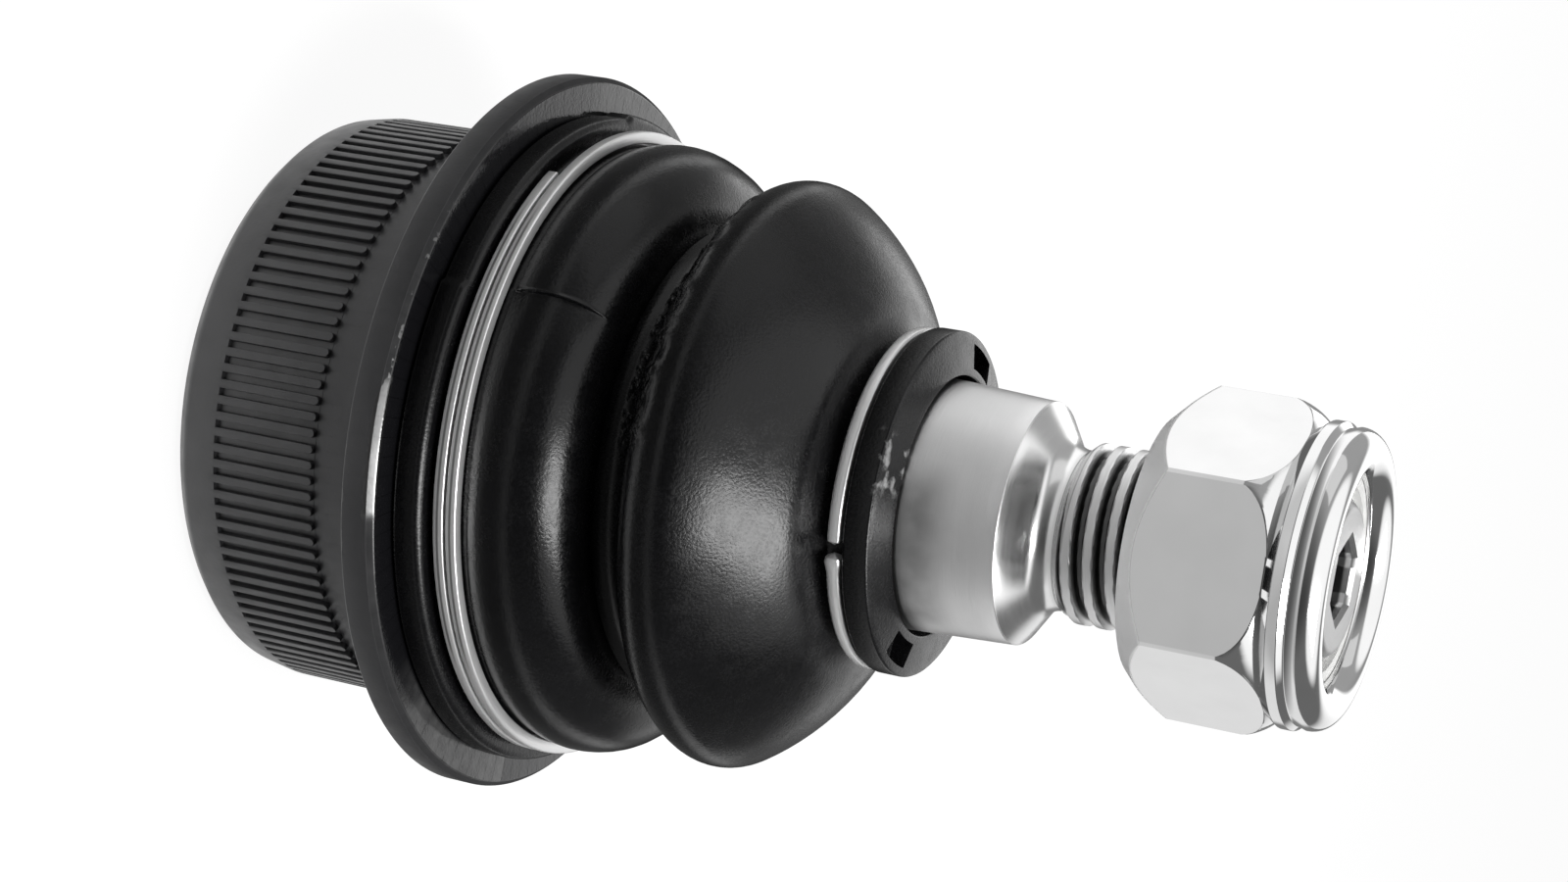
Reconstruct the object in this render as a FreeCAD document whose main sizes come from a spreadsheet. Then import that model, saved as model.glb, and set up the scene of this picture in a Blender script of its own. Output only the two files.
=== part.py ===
import FreeCAD, Part
import math
import os
import re
import Sketcher

# Press-in suspension ball joint, in millimetres.
# +Z runs along the stud, from the knurled body to the lock nut.
# The origin is the centre of the ball, which is the pivot of the joint.

DRIVING_SIZES = [
    # Housing: press-in body, flange and the neck that carries the boot
    ("body_radius", 20.3, "radius of the press-fit body and of the crests of its ribs"),
    ("band_radius", 19.9, "plain band between the ribs and the flange"),
    ("body_base", -16.0, "height of the rolled bottom edge"),
    ("base_round", 1.0, "rounding of the bottom edge"),
    ("lead_radius", 19.95, "small end of the lead-in that starts the press fit"),
    ("lead_top", -12.8, "height where the lead-in reaches full size"),
    ("flange_back", 0.75, "seating face of the flange"),
    ("flange_front", 3.0, "front face of the flange"),
    ("flange_radius", 25.1, "outer radius of the flange"),
    ("flange_bevel", 0.4, "bevel of the front edge of the flange"),
    ("foot_groove_radius", 18.4, "bottom of the groove that holds the boot's foot"),
    ("foot_groove_top", 6.8, "height where that groove ends"),
    ("lip_radius", 19.2, "lip above the groove"),
    ("lip_low", 7.2, "lower edge of the lip"),
    ("lip_high", 7.9, "upper edge of the lip"),
    ("neck_radius_top", 14.6, "outer radius of the top face"),
    ("neck_top", 9.8, "height of the top face"),
    ("mouth_radius", 10.9, "opening that the stud tilts in"),
    ("mouth_low", 8.2, "lower end of that opening"),
    ("bore_radius", 16.0, "bore for the two seats"),
    ("bore_top", 3.2, "height where the bore starts to close in"),
    ("cover_bore_radius", 17.0, "step that the cover plate sits in"),
    ("cover_seat", -13.5, "shoulder under which the cover plate sits"),
    ("roll_top", -15.0, "upper face of the rolled edge"),
    ("roll_radius", 14.8, "inner radius of the rolled edge"),
    # Ribs of the press fit
    ("rib_count", 118.0, "number of ribs around the body"),
    ("rib_high", -4.65, "end of the ribs towards the flange"),
    ("rib_bevel", 0.18, "bevel of a rib's corners at that end"),
    ("groove_low", -12.3, "lower end of the grooves between the ribs"),
    ("groove_width", 0.56, "width of a groove"),
    ("groove_depth", 0.38, "depth of a groove"),
    # Ball stud
    ("ball_radius", 11.5, "radius of the ball"),
    ("ball_flat_radius", 4.5, "radius of the flat under the ball"),
    ("stud_neck_radius", 5.9, "narrowest part, just above the ball"),
    ("stud_neck_top", 12.4, "height where the neck starts to widen"),
    ("shank_low", 17.4, "height where the shank is full size"),
    ("taper_low", 28.0, "large end of the taper"),
    ("taper_high", 38.6, "small end of the taper"),
    ("taper_small_radius", 8.13, "radius at the small end"),
    ("taper_slope", 0.05, "radius lost for each millimetre of height, one in ten on diameter"),
    ("cone_end", 39.95, "height where the cone after the taper runs into its fillet"),
    ("cone_end_radius", 6.1, "radius there"),
    ("undercut_fillet", 1.64, "radius of that fillet"),
    ("undercut_low", 41.3, "lower end of the undercut before the thread"),
    ("undercut_high", 41.5, "upper end of the undercut"),
    ("undercut_radius", 5.35, "radius of the undercut"),
    ("thread_radius", 6.0, "major radius of the M12 x 1.5 thread"),
    ("thread_low", 42.2, "height of the first full turn"),
    ("stud_top", 59.2, "height of the stud's end"),
    ("stud_bevel", 1.3, "bevel of the stud's end"),
    ("key_flats", 5.0, "hexagon socket in the stud's end, across flats"),
    ("key_depth", 6.0, "depth of the hexagon socket"),
    # Bearing seats, preload washer and cover plate
    ("ball_gap", 0.05, "running clearance around the ball"),
    ("seat_gap", 0.05, "clearance between the seats and the bore"),
    ("seat_split", 0.1, "half of the gap between the two seats"),
    ("upper_seat_edge_angle", 53.0, "angle from the stud's axis to the edge of the upper seat"),
    ("lower_seat_base", -12.7, "underside of the lower seat"),
    ("grease_hole_radius", 4.0, "hole in the middle of the lower seat"),
    ("seat_bevel", 1.3, "bevel of the lower seat's outer edge"),
    ("slit_count", 6.0, "relief slits in the lower seat"),
    ("slit_width", 1.2, "width of a relief slit"),
    ("slit_depth", 7.0, "length of a relief slit"),
    ("washer_inner", 6.0, "inner radius of the preload washer"),
    ("washer_outer", 14.5, "outer radius of the preload washer"),
    ("washer_thickness", 0.5, "sheet thickness of the preload washer"),
    ("washer_rise", 0.28, "height of its cone"),
    ("cover_gap", 0.03, "clearance around the cover plate"),
    ("cover_dish_radius", 9.0, "radius of the dish pressed into the cover plate"),
    ("cover_dish_depth", 0.4, "depth of that dish"),
    # Dust boot
    ("boot_gap", 0.12, "clearance between the boot and the metal that it wraps"),
    ("foot_radius", 22.8, "outer radius of the boot's foot"),
    ("foot_bevel", 0.5, "bevel of the foot's edges"),
    ("foot_top", 5.1, "height of the foot's step"),
    ("clamp_seat_radius", 20.85, "seat of the large clamp ring"),
    ("clamp_seat_top", 7.5, "upper end of that seat"),
    ("fold_top", 11.9, "height where the first fold starts to turn in"),
    ("fold_radius", 20.5, "radius there"),
    ("fold_bulge", 4.8, "curvature of the first fold"),
    ("valley_outer_low", 14.1, "lower edge of the valley between the folds"),
    ("valley_outer_high", 16.3, "upper edge of the valley"),
    ("valley_radius", 16.2, "radius at the edges of the valley"),
    ("bell_low", 17.4, "lower end of the bell's rim"),
    ("bell_high", 21.9, "upper end of the bell's rim"),
    ("bell_radius", 19.1, "radius at both ends of the bell's rim"),
    ("bell_bulge", 2.9, "curvature of the bell's rim"),
    ("bell_end", 27.0, "height where the bell meets the neck ring"),
    ("bell_end_radius", 13.1, "radius there"),
    ("ring_seat_radius", 10.55, "seat of the small neck ring"),
    ("ring_seat_low", 28.2, "lower end of that seat"),
    ("ring_seat_high", 29.6, "upper end of that seat"),
    ("collar_radius", 11.7, "outer radius of the boot's collar"),
    ("collar_top", 31.4, "height of the collar's outer edge"),
    ("collar_face", 32.0, "height of the collar's inner edge"),
    ("collar_bore", 8.8, "bore of the boot's collar"),
    ("boot_wall", 1.7, "wall thickness of the boot"),
    ("notch_count", 2.0, "moulded notches in the collar's face"),
    ("notch_width", 3.2, "width of a notch"),
    ("notch_wall", 0.65, "rubber left on both sides of a notch"),
    ("notch_depth", 1.6, "depth of a notch below the collar's inner edge"),
    ("notch_turn", -16.0, "direction of the first notch, in degrees about the stud"),
    # Retaining rings of the boot
    ("clamp_low", 5.35, "lower edge of the large clamp ring"),
    ("clamp_pitch", 0.93, "distance between its turns"),
    ("clamp_turns", 1.75, "number of turns of its flat wire"),
    ("clamp_turn", 217.0, "direction of the wire's lower end, in degrees about the stud"),
    ("clamp_wire_width", 0.82, "width of the flat wire"),
    ("clamp_wire_thickness", 0.9, "thickness of the flat wire"),
    ("clamp_radius", 21.0, "inner radius of the large clamp ring"),
    ("neck_ring_radius", 11.15, "middle radius of the small neck ring"),
    ("neck_ring_wire", 0.92, "thickness of its wire, which is square with broken edges"),
    ("neck_ring_bevel", 0.25, "broken edge of the wire"),
    ("neck_ring_height", 28.95, "height of its middle"),
    ("neck_ring_angle", 355.0, "part of a full turn that it covers"),
    ("neck_ring_turn", 293.0, "direction of one end of the wire, in degrees about the stud"),
    # Lock nut and its insert, measured from the nut's bearing face
    ("nut_face", 47.0, "height of the nut's bearing face on the thread"),
    ("nut_flats", 19.0, "width across flats"),
    ("nut_turn", 3.5, "direction of one corner of the hexagon, in degrees about the stud"),
    ("nut_hex_height", 9.5, "height of the hexagon"),
    ("nut_face_radius", 8.6, "radius of the bearing face"),
    ("nut_crown_low", 6.7, "height where the hexagon's corners start to round in"),
    ("nut_crown_round", 3.6, "radius of that rounding"),
    ("nut_crown_radius", 9.55, "radius at the top of the hexagon"),
    ("nut_bore_gap", 0.05, "clearance between the thread and the nut's bore"),
    ("nut_bore_bevel", 0.8, "bevel at the mouth of the bore"),
    ("nut_pocket_radius", 7.9, "pocket for the insert"),
    ("nut_pocket_low", 9.5, "bottom of that pocket"),
    ("nut_band_radius", 9.95, "radius of the band above the hexagon"),
    ("nut_band_low", 10.1, "lower edge of the band"),
    ("nut_band_high", 10.8, "upper edge of the band"),
    ("nut_collar_radius", 9.55, "radius of the groove below the rolled collar"),
    ("nut_collar_low", 11.15, "top of that groove"),
    ("nut_collar_middle", 11.75, "height of the widest part of the rolled collar"),
    ("nut_collar_bulge", 1.45, "radius of the rolled collar's section"),
    ("nut_collar_centre", 8.3, "radius of the circle that the section is carried around"),
    ("insert_outer", 7.85, "outer radius of the insert"),
    ("insert_low", 9.6, "underside of the insert"),
    ("insert_high", 11.7, "upper face of the insert"),
]

FUNCTIONS = {"sqrt", "sin", "cos", "deg"}

doc = FreeCAD.newDocument("SuspensionBallJoint")
size = doc.addObject("Spreadsheet::Sheet", "Size")
for row, (alias, number, meaning) in enumerate(DRIVING_SIZES, start=1):
    size.set("A%d" % row, meaning)
    size.set("B%d" % row, str(number))
    size.setAlias("B%d" % row, alias)
doc.recompute()

bodies = []


def bound(text):
    """Turn a size written with plain aliases into an expression on the sheet."""
    def qualify(match):
        word = match.group()
        return word if word in FUNCTIONS else "Size." + word
    return re.sub(r"[a-z][a-z_]*", qualify, text)


def number(text):
    """The value in millimetres of a size written with plain aliases."""
    value = size.evalExpression(bound(text))
    return float(getattr(value, "Value", value))


def new_body(label):
    """Start one piece of the ball joint."""
    body = doc.addObject("PartDesign::Body", label)
    body.Label = label
    bodies.append(body)
    return body


def new_sketch(body, plane, name):
    """Attach an empty sketch to one of the body's own origin planes."""
    sketch = body.newObject("Sketcher::SketchObject", body.Name + "_" + name)
    origin_plane = [f for f in body.Origin.OriginFeatures if f.Role == plane][0]
    sketch.AttachmentSupport = [(origin_plane, "")]
    sketch.MapMode = "FlatFace"
    return sketch


def draw_outline(sketch, corners):
    """Close an outline through the corners, each written (across, up) or (across, up, radius).

    A third entry makes the edge that leaves the corner an arc of that radius.
    Every corner and every radius is held by a constraint bound to the sheet.
    """
    points = [FreeCAD.Vector(number(c[0]), number(c[1]), 0) for c in corners]
    count = len(corners)
    for index, corner in enumerate(corners):
        start = points[index]
        end = points[(index + 1) % count]
        if len(corner) == 2:
            sketch.addGeometry(Part.LineSegment(start, end), False)
        else:
            sketch.addGeometry(arc_piece(start, end, number(corner[2])), False)
    for index, corner in enumerate(corners):
        follower = (index + 1) % count
        sketch.addConstraint(Sketcher.Constraint(
            "Coincident", index, end_of(sketch, index, points[follower]),
            follower, start_of(sketch, follower, points[follower])))
    for index, corner in enumerate(corners):
        vertex = start_of(sketch, index, points[index])
        hold(sketch, "DistanceX", index, vertex, points[index].x, corner[0])
        hold(sketch, "DistanceY", index, vertex, points[index].y, corner[1])
        if len(corner) == 3:
            radius = abs(number(corner[2]))
            spot = sketch.addConstraint(Sketcher.Constraint("Radius", index, radius))
            sketch.setExpression("Constraints[%d]" % spot, bound(corner[2].lstrip("-")))


def arc_piece(start, end, radius):
    """Arc of a circle from start to end, bulging right for a positive radius."""
    chord = end - start
    side = FreeCAD.Vector(chord.y, -chord.x, 0).normalize()
    drop = abs(radius) - math.sqrt(radius ** 2 - (chord.Length / 2) ** 2)
    top = (start + end) * 0.5 + side * math.copysign(drop, radius)
    return Part.Arc(start, top, end)


def start_of(sketch, index, point):
    """Which end of the edge, 1 or 2, lies at the point."""
    return 1 if (sketch.getPoint(index, 1) - point).Length < 1e-6 else 2


def end_of(sketch, index, point):
    """Which end of the edge, 1 or 2, lies at the point where the edge stops."""
    return 2 if (sketch.getPoint(index, 2) - point).Length < 1e-6 else 1


def hold(sketch, kind, index, vertex, value, text):
    """Hold one coordinate of a vertex at a size from the sheet."""
    if abs(value) < 1e-9:
        axis = -2 if kind == "DistanceX" else -1
        sketch.addConstraint(Sketcher.Constraint("PointOnObject", index, vertex, axis))
        return
    if value > 0:
        ends = (-1, 1, index, vertex)
    else:
        ends = (index, vertex, -1, 1)
    spot = sketch.addConstraint(Sketcher.Constraint(kind, *ends, abs(value)))
    signed = bound(text) if value > 0 else "-(" + bound(text) + ")"
    sketch.setExpression("Constraints[%d]" % spot, signed)


def turn(body, name, corners, kind="Revolution", angle="360"):
    """Turn an outline in the XZ plane about the stud's axis."""
    sketch = new_sketch(body, "XZ_Plane", name + "_outline")
    draw_outline(sketch, corners)
    feature = body.newObject("PartDesign::" + kind, body.Name + "_" + name)
    feature.Profile = sketch
    feature.ReferenceAxis = (sketch, ["V_Axis"])
    feature.setExpression("Angle", bound(angle))
    doc.recompute()
    return feature


def cut_along(body, name, sketch, length, reverse):
    """Pocket a sketch and check that it really removes material."""
    before = body.Shape.Volume
    pocket = body.newObject("PartDesign::Pocket", body.Name + "_" + name)
    pocket.Profile = sketch
    pocket.setExpression("Length", bound(length))
    pocket.Reversed = reverse
    doc.recompute()
    if body.Shape.Volume >= before - 1e-6:
        raise RuntimeError(name + " cuts nothing")
    return pocket


def repeat_around(body, feature, count):
    """Repeat a feature around the stud's axis."""
    pattern = body.newObject("PartDesign::PolarPattern", feature.Name + "_pattern")
    pattern.Originals = [feature]
    axis = [f for f in body.Origin.OriginFeatures if f.Role == "Z_Axis"][0]
    pattern.Axis = (axis, [""])
    pattern.Angle = 360.0
    pattern.setExpression("Occurrences", bound(count))
    body.Tip = pattern
    doc.recompute()
    return pattern


def move_up(sketch_or_body, text, prefix):
    """Bind a height to the sheet."""
    sketch_or_body.setExpression(prefix + ".Base.z", bound(text))


def turn_about_stud(body, text):
    """Turn a piece about the stud's axis by an angle from the sheet, in degrees."""
    body.Placement.Rotation = FreeCAD.Rotation(FreeCAD.Vector(0, 0, 1), number(text))
    body.setExpression("Placement.Rotation.Angle", bound(text))


def make_housing():
    """Forged body: press-fit sleeve with ribs, flange, boot groove and stud mouth."""
    body = new_body("housing")
    turn(body, "forging", [
        ("roll_radius", "body_base"),
        ("lead_radius - base_round", "body_base", "base_round"),
        ("lead_radius", "body_base + base_round"),
        ("body_radius", "lead_top"),
        ("body_radius", "rib_high"),
        ("band_radius", "rib_high"),
        ("band_radius", "flange_back"),
        ("flange_radius", "flange_back"),
        ("flange_radius", "flange_front - flange_bevel"),
        ("flange_radius - flange_bevel", "flange_front"),
        ("foot_groove_radius", "flange_front"),
        ("foot_groove_radius", "foot_groove_top"),
        ("lip_radius", "lip_low"),
        ("lip_radius", "lip_high"),
        ("neck_radius_top", "neck_top"),
        ("mouth_radius", "neck_top"),
        ("mouth_radius", "mouth_low"),
        ("bore_radius", "bore_top"),
        ("bore_radius", "cover_seat"),
        ("cover_bore_radius", "cover_seat"),
        ("cover_bore_radius", "roll_top"),
        ("roll_radius", "roll_top"),
    ])
    sketch = new_sketch(body, "YZ_Plane", "groove_outline")
    sketch.setExpression("AttachmentOffset.Base.z", bound("body_radius"))
    wall = "groove_width / 2"
    right_side = [
        (wall, "groove_low"),
        (wall, "rib_high - rib_bevel"),
        (wall + " + rib_bevel", "rib_high"),
        (wall + " + rib_bevel", "rib_high + rib_bevel"),
    ]
    left_side = [("-(%s)" % across, up) for across, up in reversed(right_side)]
    draw_outline(sketch, right_side + left_side)
    groove = cut_along(body, "groove", sketch, "groove_depth", False)
    repeat_around(body, groove, "rib_count")
    return body


def make_cover_plate():
    """Pressed disc that closes the bottom and is held by the rolled edge."""
    body = new_body("cover_plate")
    turn(body, "disc", [
        ("0", "roll_top + cover_dish_depth"),
        ("cover_dish_radius", "roll_top + cover_dish_depth"),
        ("cover_dish_radius + cover_dish_depth", "roll_top"),
        ("cover_bore_radius - cover_gap", "roll_top"),
        ("cover_bore_radius - cover_gap", "cover_seat"),
        ("0", "cover_seat"),
    ])
    return body


def make_preload_washer():
    """Shallow cone of spring steel that takes up wear under the lower seat."""
    body = new_body("preload_washer")
    turn(body, "cone", [
        ("washer_inner", "cover_seat + washer_rise"),
        ("washer_outer", "cover_seat"),
        ("washer_outer", "cover_seat + washer_thickness"),
        ("washer_inner", "cover_seat + washer_rise + washer_thickness"),
    ])
    return body


def cut_slits(body, base, reverse):
    """Relief slits that let a plastic seat close on the ball."""
    sketch = new_sketch(body, "YZ_Plane", "slit_outline")
    draw_outline(sketch, [
        ("slit_width / 2", base),
        ("slit_width / 2", base + " + slit_depth"),
        ("-slit_width / 2", base + " + slit_depth"),
        ("-slit_width / 2", base),
    ])
    slit = cut_along(body, "slit", sketch, "bore_radius", reverse)
    repeat_around(body, slit, "slit_count")


def make_lower_seat():
    """Plastic cup under the ball, open in the middle for grease."""
    body = new_body("lower_seat")
    cup = "(ball_radius + ball_gap)"
    turn(body, "cup", [
        ("grease_hole_radius", "lower_seat_base"),
        ("bore_radius - seat_gap - seat_bevel", "lower_seat_base"),
        ("bore_radius - seat_gap", "lower_seat_base + seat_bevel"),
        ("bore_radius - seat_gap", "-seat_split"),
        ("sqrt(%s ^ 2 - seat_split ^ 2)" % cup, "-seat_split", "-" + cup),
        ("grease_hole_radius", "-sqrt(%s ^ 2 - grease_hole_radius ^ 2)" % cup),
    ])
    cut_slits(body, "-seat_split - slit_depth", True)
    return body


def make_upper_seat():
    """Plastic ring above the ball, which stops the ball from pulling out."""
    body = new_body("upper_seat")
    cup = "(ball_radius + ball_gap)"
    turn(body, "ring", [
        ("sqrt(%s ^ 2 - seat_split ^ 2)" % cup, "seat_split"),
        ("bore_radius - seat_gap", "seat_split"),
        ("bore_radius - seat_gap", "bore_top"),
        ("mouth_radius - seat_gap", "mouth_low"),
        (cup + " * sin(upper_seat_edge_angle * 1 deg)",
         cup + " * cos(upper_seat_edge_angle * 1 deg)", "-" + cup),
    ])
    return body


def make_ball_stud():
    """One forging: ball, neck, shank, ground taper, undercut, thread and hexagon socket."""
    body = new_body("ball_stud")
    turn(body, "forging", [
        ("0", "-sqrt(ball_radius ^ 2 - ball_flat_radius ^ 2)"),
        ("ball_flat_radius", "-sqrt(ball_radius ^ 2 - ball_flat_radius ^ 2)", "ball_radius"),
        ("stud_neck_radius", "sqrt(ball_radius ^ 2 - stud_neck_radius ^ 2)"),
        ("stud_neck_radius", "stud_neck_top"),
        ("taper_small_radius + taper_slope * (taper_high - taper_low)", "shank_low"),
        ("taper_small_radius + taper_slope * (taper_high - taper_low)", "taper_low"),
        ("taper_small_radius", "taper_high"),
        ("cone_end_radius", "cone_end", "-undercut_fillet"),
        ("undercut_radius", "undercut_low"),
        ("undercut_radius", "undercut_high"),
        ("thread_radius", "thread_low"),
        ("thread_radius", "stud_top - stud_bevel"),
        ("thread_radius - stud_bevel", "stud_top"),
        ("0", "stud_top"),
    ])
    sketch = new_sketch(body, "XY_Plane", "key_outline")
    move_up(sketch, "stud_top", "AttachmentOffset")
    corner = "key_flats / sqrt(3)"
    draw_outline(sketch, [
        (corner, "0"),
        (corner + " / 2", "key_flats / 2"),
        ("-" + corner + " / 2", "key_flats / 2"),
        ("-" + corner, "0"),
        ("-" + corner + " / 2", "-key_flats / 2"),
        (corner + " / 2", "-key_flats / 2"),
    ])
    cut_along(body, "key", sketch, "key_depth", False)
    return body


def make_dust_boot():
    """Rubber bellows with two folds, clamped on the housing and on the stud."""
    body = new_body("dust_boot")
    turn(body, "bellows", [
        ("foot_groove_radius + boot_gap", "flange_front + boot_gap"),
        ("foot_radius - foot_bevel", "flange_front + boot_gap"),
        ("foot_radius", "flange_front + boot_gap + foot_bevel"),
        ("foot_radius", "foot_top - foot_bevel"),
        ("foot_radius - foot_bevel", "foot_top"),
        ("clamp_seat_radius", "foot_top"),
        ("clamp_seat_radius", "clamp_seat_top", "fold_bulge"),
        ("fold_radius", "fold_top", "fold_bulge"),
        ("valley_radius", "valley_outer_low"),
        ("valley_radius", "valley_outer_high"),
        ("bell_radius", "bell_low", "bell_bulge"),
        ("bell_radius", "bell_high"),
        ("bell_end_radius", "bell_end"),
        ("ring_seat_radius", "ring_seat_low"),
        ("ring_seat_radius", "ring_seat_high"),
        ("collar_radius", "ring_seat_high"),
        ("collar_radius", "collar_top"),
        ("collar_bore", "collar_face"),
        ("collar_bore", "ring_seat_low"),
        ("bell_end_radius - boot_wall", "bell_end - boot_wall"),
        ("bell_radius - boot_wall", "bell_high - boot_wall / 2"),
        ("bell_radius - boot_wall", "bell_low + boot_wall"),
        ("valley_radius - boot_wall", "valley_outer_high + boot_wall / 2"),
        ("valley_radius - boot_wall", "valley_outer_low - boot_wall / 2"),
        ("fold_radius - boot_wall / 2", "fold_top - boot_wall / 2"),
        ("lip_radius + boot_gap", "lip_high"),
        ("lip_radius + boot_gap", "lip_low"),
        ("foot_groove_radius + boot_gap", "foot_groove_top"),
    ])
    sketch = new_sketch(body, "XY_Plane", "notch_outline")
    move_up(sketch, "collar_face", "AttachmentOffset")
    draw_outline(sketch, [
        ("collar_bore + notch_wall", "-notch_width / 2"),
        ("collar_radius - notch_wall", "-notch_width / 2"),
        ("collar_radius - notch_wall", "notch_width / 2"),
        ("collar_bore + notch_wall", "notch_width / 2"),
    ])
    notch = cut_along(body, "notch", sketch, "notch_depth", False)
    repeat_around(body, notch, "notch_count")
    turn_about_stud(body, "notch_turn")
    return body


def make_boot_clamp_ring():
    """Large clamp: one and three quarter turns of flat spring wire."""
    body = new_body("boot_clamp_ring")
    sketch = new_sketch(body, "XZ_Plane", "wire_outline")
    draw_outline(sketch, [
        ("clamp_radius", "clamp_low"),
        ("clamp_radius + clamp_wire_thickness", "clamp_low"),
        ("clamp_radius + clamp_wire_thickness", "clamp_low + clamp_wire_width"),
        ("clamp_radius", "clamp_low + clamp_wire_width"),
    ])
    coil = body.newObject("PartDesign::AdditiveHelix", "boot_clamp_ring_coil")
    coil.Profile = sketch
    coil.ReferenceAxis = (sketch, ["V_Axis"])
    coil.Mode = 1
    coil.setExpression("Pitch", bound("clamp_pitch"))
    coil.setExpression("Turns", bound("clamp_turns"))
    doc.recompute()
    turn_about_stud(body, "clamp_turn")
    return body


def make_boot_neck_ring():
    """Small clamp: one turn of square wire whose ends nearly meet."""
    body = new_body("boot_neck_ring")
    half = "neck_ring_wire / 2"
    flat = "(neck_ring_wire / 2 - neck_ring_bevel)"
    turn(body, "wire", [
        ("neck_ring_radius - " + half, "neck_ring_height - " + flat),
        ("neck_ring_radius - " + flat, "neck_ring_height - " + half),
        ("neck_ring_radius + " + flat, "neck_ring_height - " + half),
        ("neck_ring_radius + " + half, "neck_ring_height - " + flat),
        ("neck_ring_radius + " + half, "neck_ring_height + " + flat),
        ("neck_ring_radius + " + flat, "neck_ring_height + " + half),
        ("neck_ring_radius - " + flat, "neck_ring_height + " + half),
        ("neck_ring_radius - " + half, "neck_ring_height + " + flat),
    ], angle="neck_ring_angle")
    turn_about_stud(body, "neck_ring_turn")
    return body


def make_lock_nut():
    """Hexagon nut with a round band and a rolled collar that holds the insert."""
    body = new_body("lock_nut")
    sketch = new_sketch(body, "XY_Plane", "hexagon")
    corner = "nut_flats / sqrt(3)"
    draw_outline(sketch, [
        (corner, "0"),
        (corner + " / 2", "nut_flats / 2"),
        ("-" + corner + " / 2", "nut_flats / 2"),
        ("-" + corner, "0"),
        ("-" + corner + " / 2", "-nut_flats / 2"),
        (corner + " / 2", "-nut_flats / 2"),
    ])
    block = body.newObject("PartDesign::Pad", "lock_nut_block")
    block.Profile = sketch
    block.setExpression("Length", bound("nut_hex_height"))
    doc.recompute()
    turn(body, "lower_bevel", [
        ("nut_face_radius", "0"),
        ("nut_flats", "nut_flats - nut_face_radius"),
        ("nut_flats", "0"),
    ], "Groove")
    turn(body, "crown", [
        ("nut_crown_radius", "nut_hex_height"),
        ("nut_flats", "nut_hex_height"),
        ("nut_flats", "nut_crown_low"),
        (corner, "nut_crown_low", "nut_crown_round"),
    ], "Groove")
    turn(body, "rolled_collar", [
        ("thread_radius", "nut_hex_height"),
        ("nut_crown_radius", "nut_hex_height"),
        ("nut_band_radius", "nut_band_low"),
        ("nut_band_radius", "nut_band_high"),
        ("nut_collar_radius", "nut_collar_low"),
        ("nut_collar_centre + nut_collar_bulge", "nut_collar_middle", "nut_collar_bulge"),
        ("nut_collar_centre", "nut_collar_middle + nut_collar_bulge", "nut_collar_bulge"),
        ("nut_collar_centre - nut_collar_bulge", "nut_collar_middle"),
        ("thread_radius", "nut_collar_middle"),
    ])
    turn(body, "bore", [
        ("0", "0"),
        ("thread_radius + nut_bore_gap + nut_bore_bevel", "0"),
        ("thread_radius + nut_bore_gap", "nut_bore_bevel"),
        ("thread_radius + nut_bore_gap", "nut_pocket_low"),
        ("nut_pocket_radius", "nut_pocket_low"),
        ("nut_pocket_radius", "nut_collar_middle"),
        ("0", "nut_collar_middle"),
    ], "Groove")
    turn_about_stud(body, "nut_turn")
    move_up(body, "nut_face", "Placement")
    return body


def make_nut_insert():
    """Plastic ring in the nut's collar that grips the thread."""
    body = new_body("nut_insert")
    turn(body, "ring", [
        ("thread_radius + nut_bore_gap", "insert_low"),
        ("insert_outer", "insert_low"),
        ("insert_outer", "insert_high"),
        ("thread_radius + nut_bore_gap", "insert_high"),
    ])
    move_up(body, "nut_face", "Placement")
    return body


make_housing()
make_cover_plate()
make_preload_washer()
make_lower_seat()
make_upper_seat()
make_ball_stud()
make_dust_boot()
make_boot_clamp_ring()
make_boot_neck_ring()
make_lock_nut()
make_nut_insert()
doc.recompute()

for item in doc.Objects:
    if "Invalid" in item.State or "Error" in item.State:
        raise RuntimeError("%s failed: %s" % (item.Label, item.State))

os.makedirs("parts", exist_ok=True)
for body in bodies:
    shape = body.Shape
    if shape.isNull() or not shape.isValid():
        raise RuntimeError(body.Label + " has no valid shape")
    shape.exportStep("parts/%s.step" % body.Label)
    print("%s: %d solid, %.0f cubic millimetres" % (body.Label, len(shape.Solids), shape.Volume))
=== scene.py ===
# %% [markdown]
# # A press-in suspension ball joint
#
# A ball joint ties a car's control arm to the wheel carrier. A forged steel body is pressed
# into the arm, a ball turns inside it, and a tapered stud leaves through a rubber boot.
# Nearly every piece is turned, pressed or wound around one axis, so this lesson builds them
# as outlines carried around that axis, and then breaks the perfect symmetry where the real
# pieces do: ribs, a thread, a hexagon, wire ends, mould lines and worn edges.
#
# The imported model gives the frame. Its axis is +Z, its origin is the centre of the ball,
# and every new piece is made in millimetres there and stored in metres.

# %% Load the frame
from functools import reduce

import bpy
import numpy as np
from mathutils import Matrix, Vector


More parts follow.
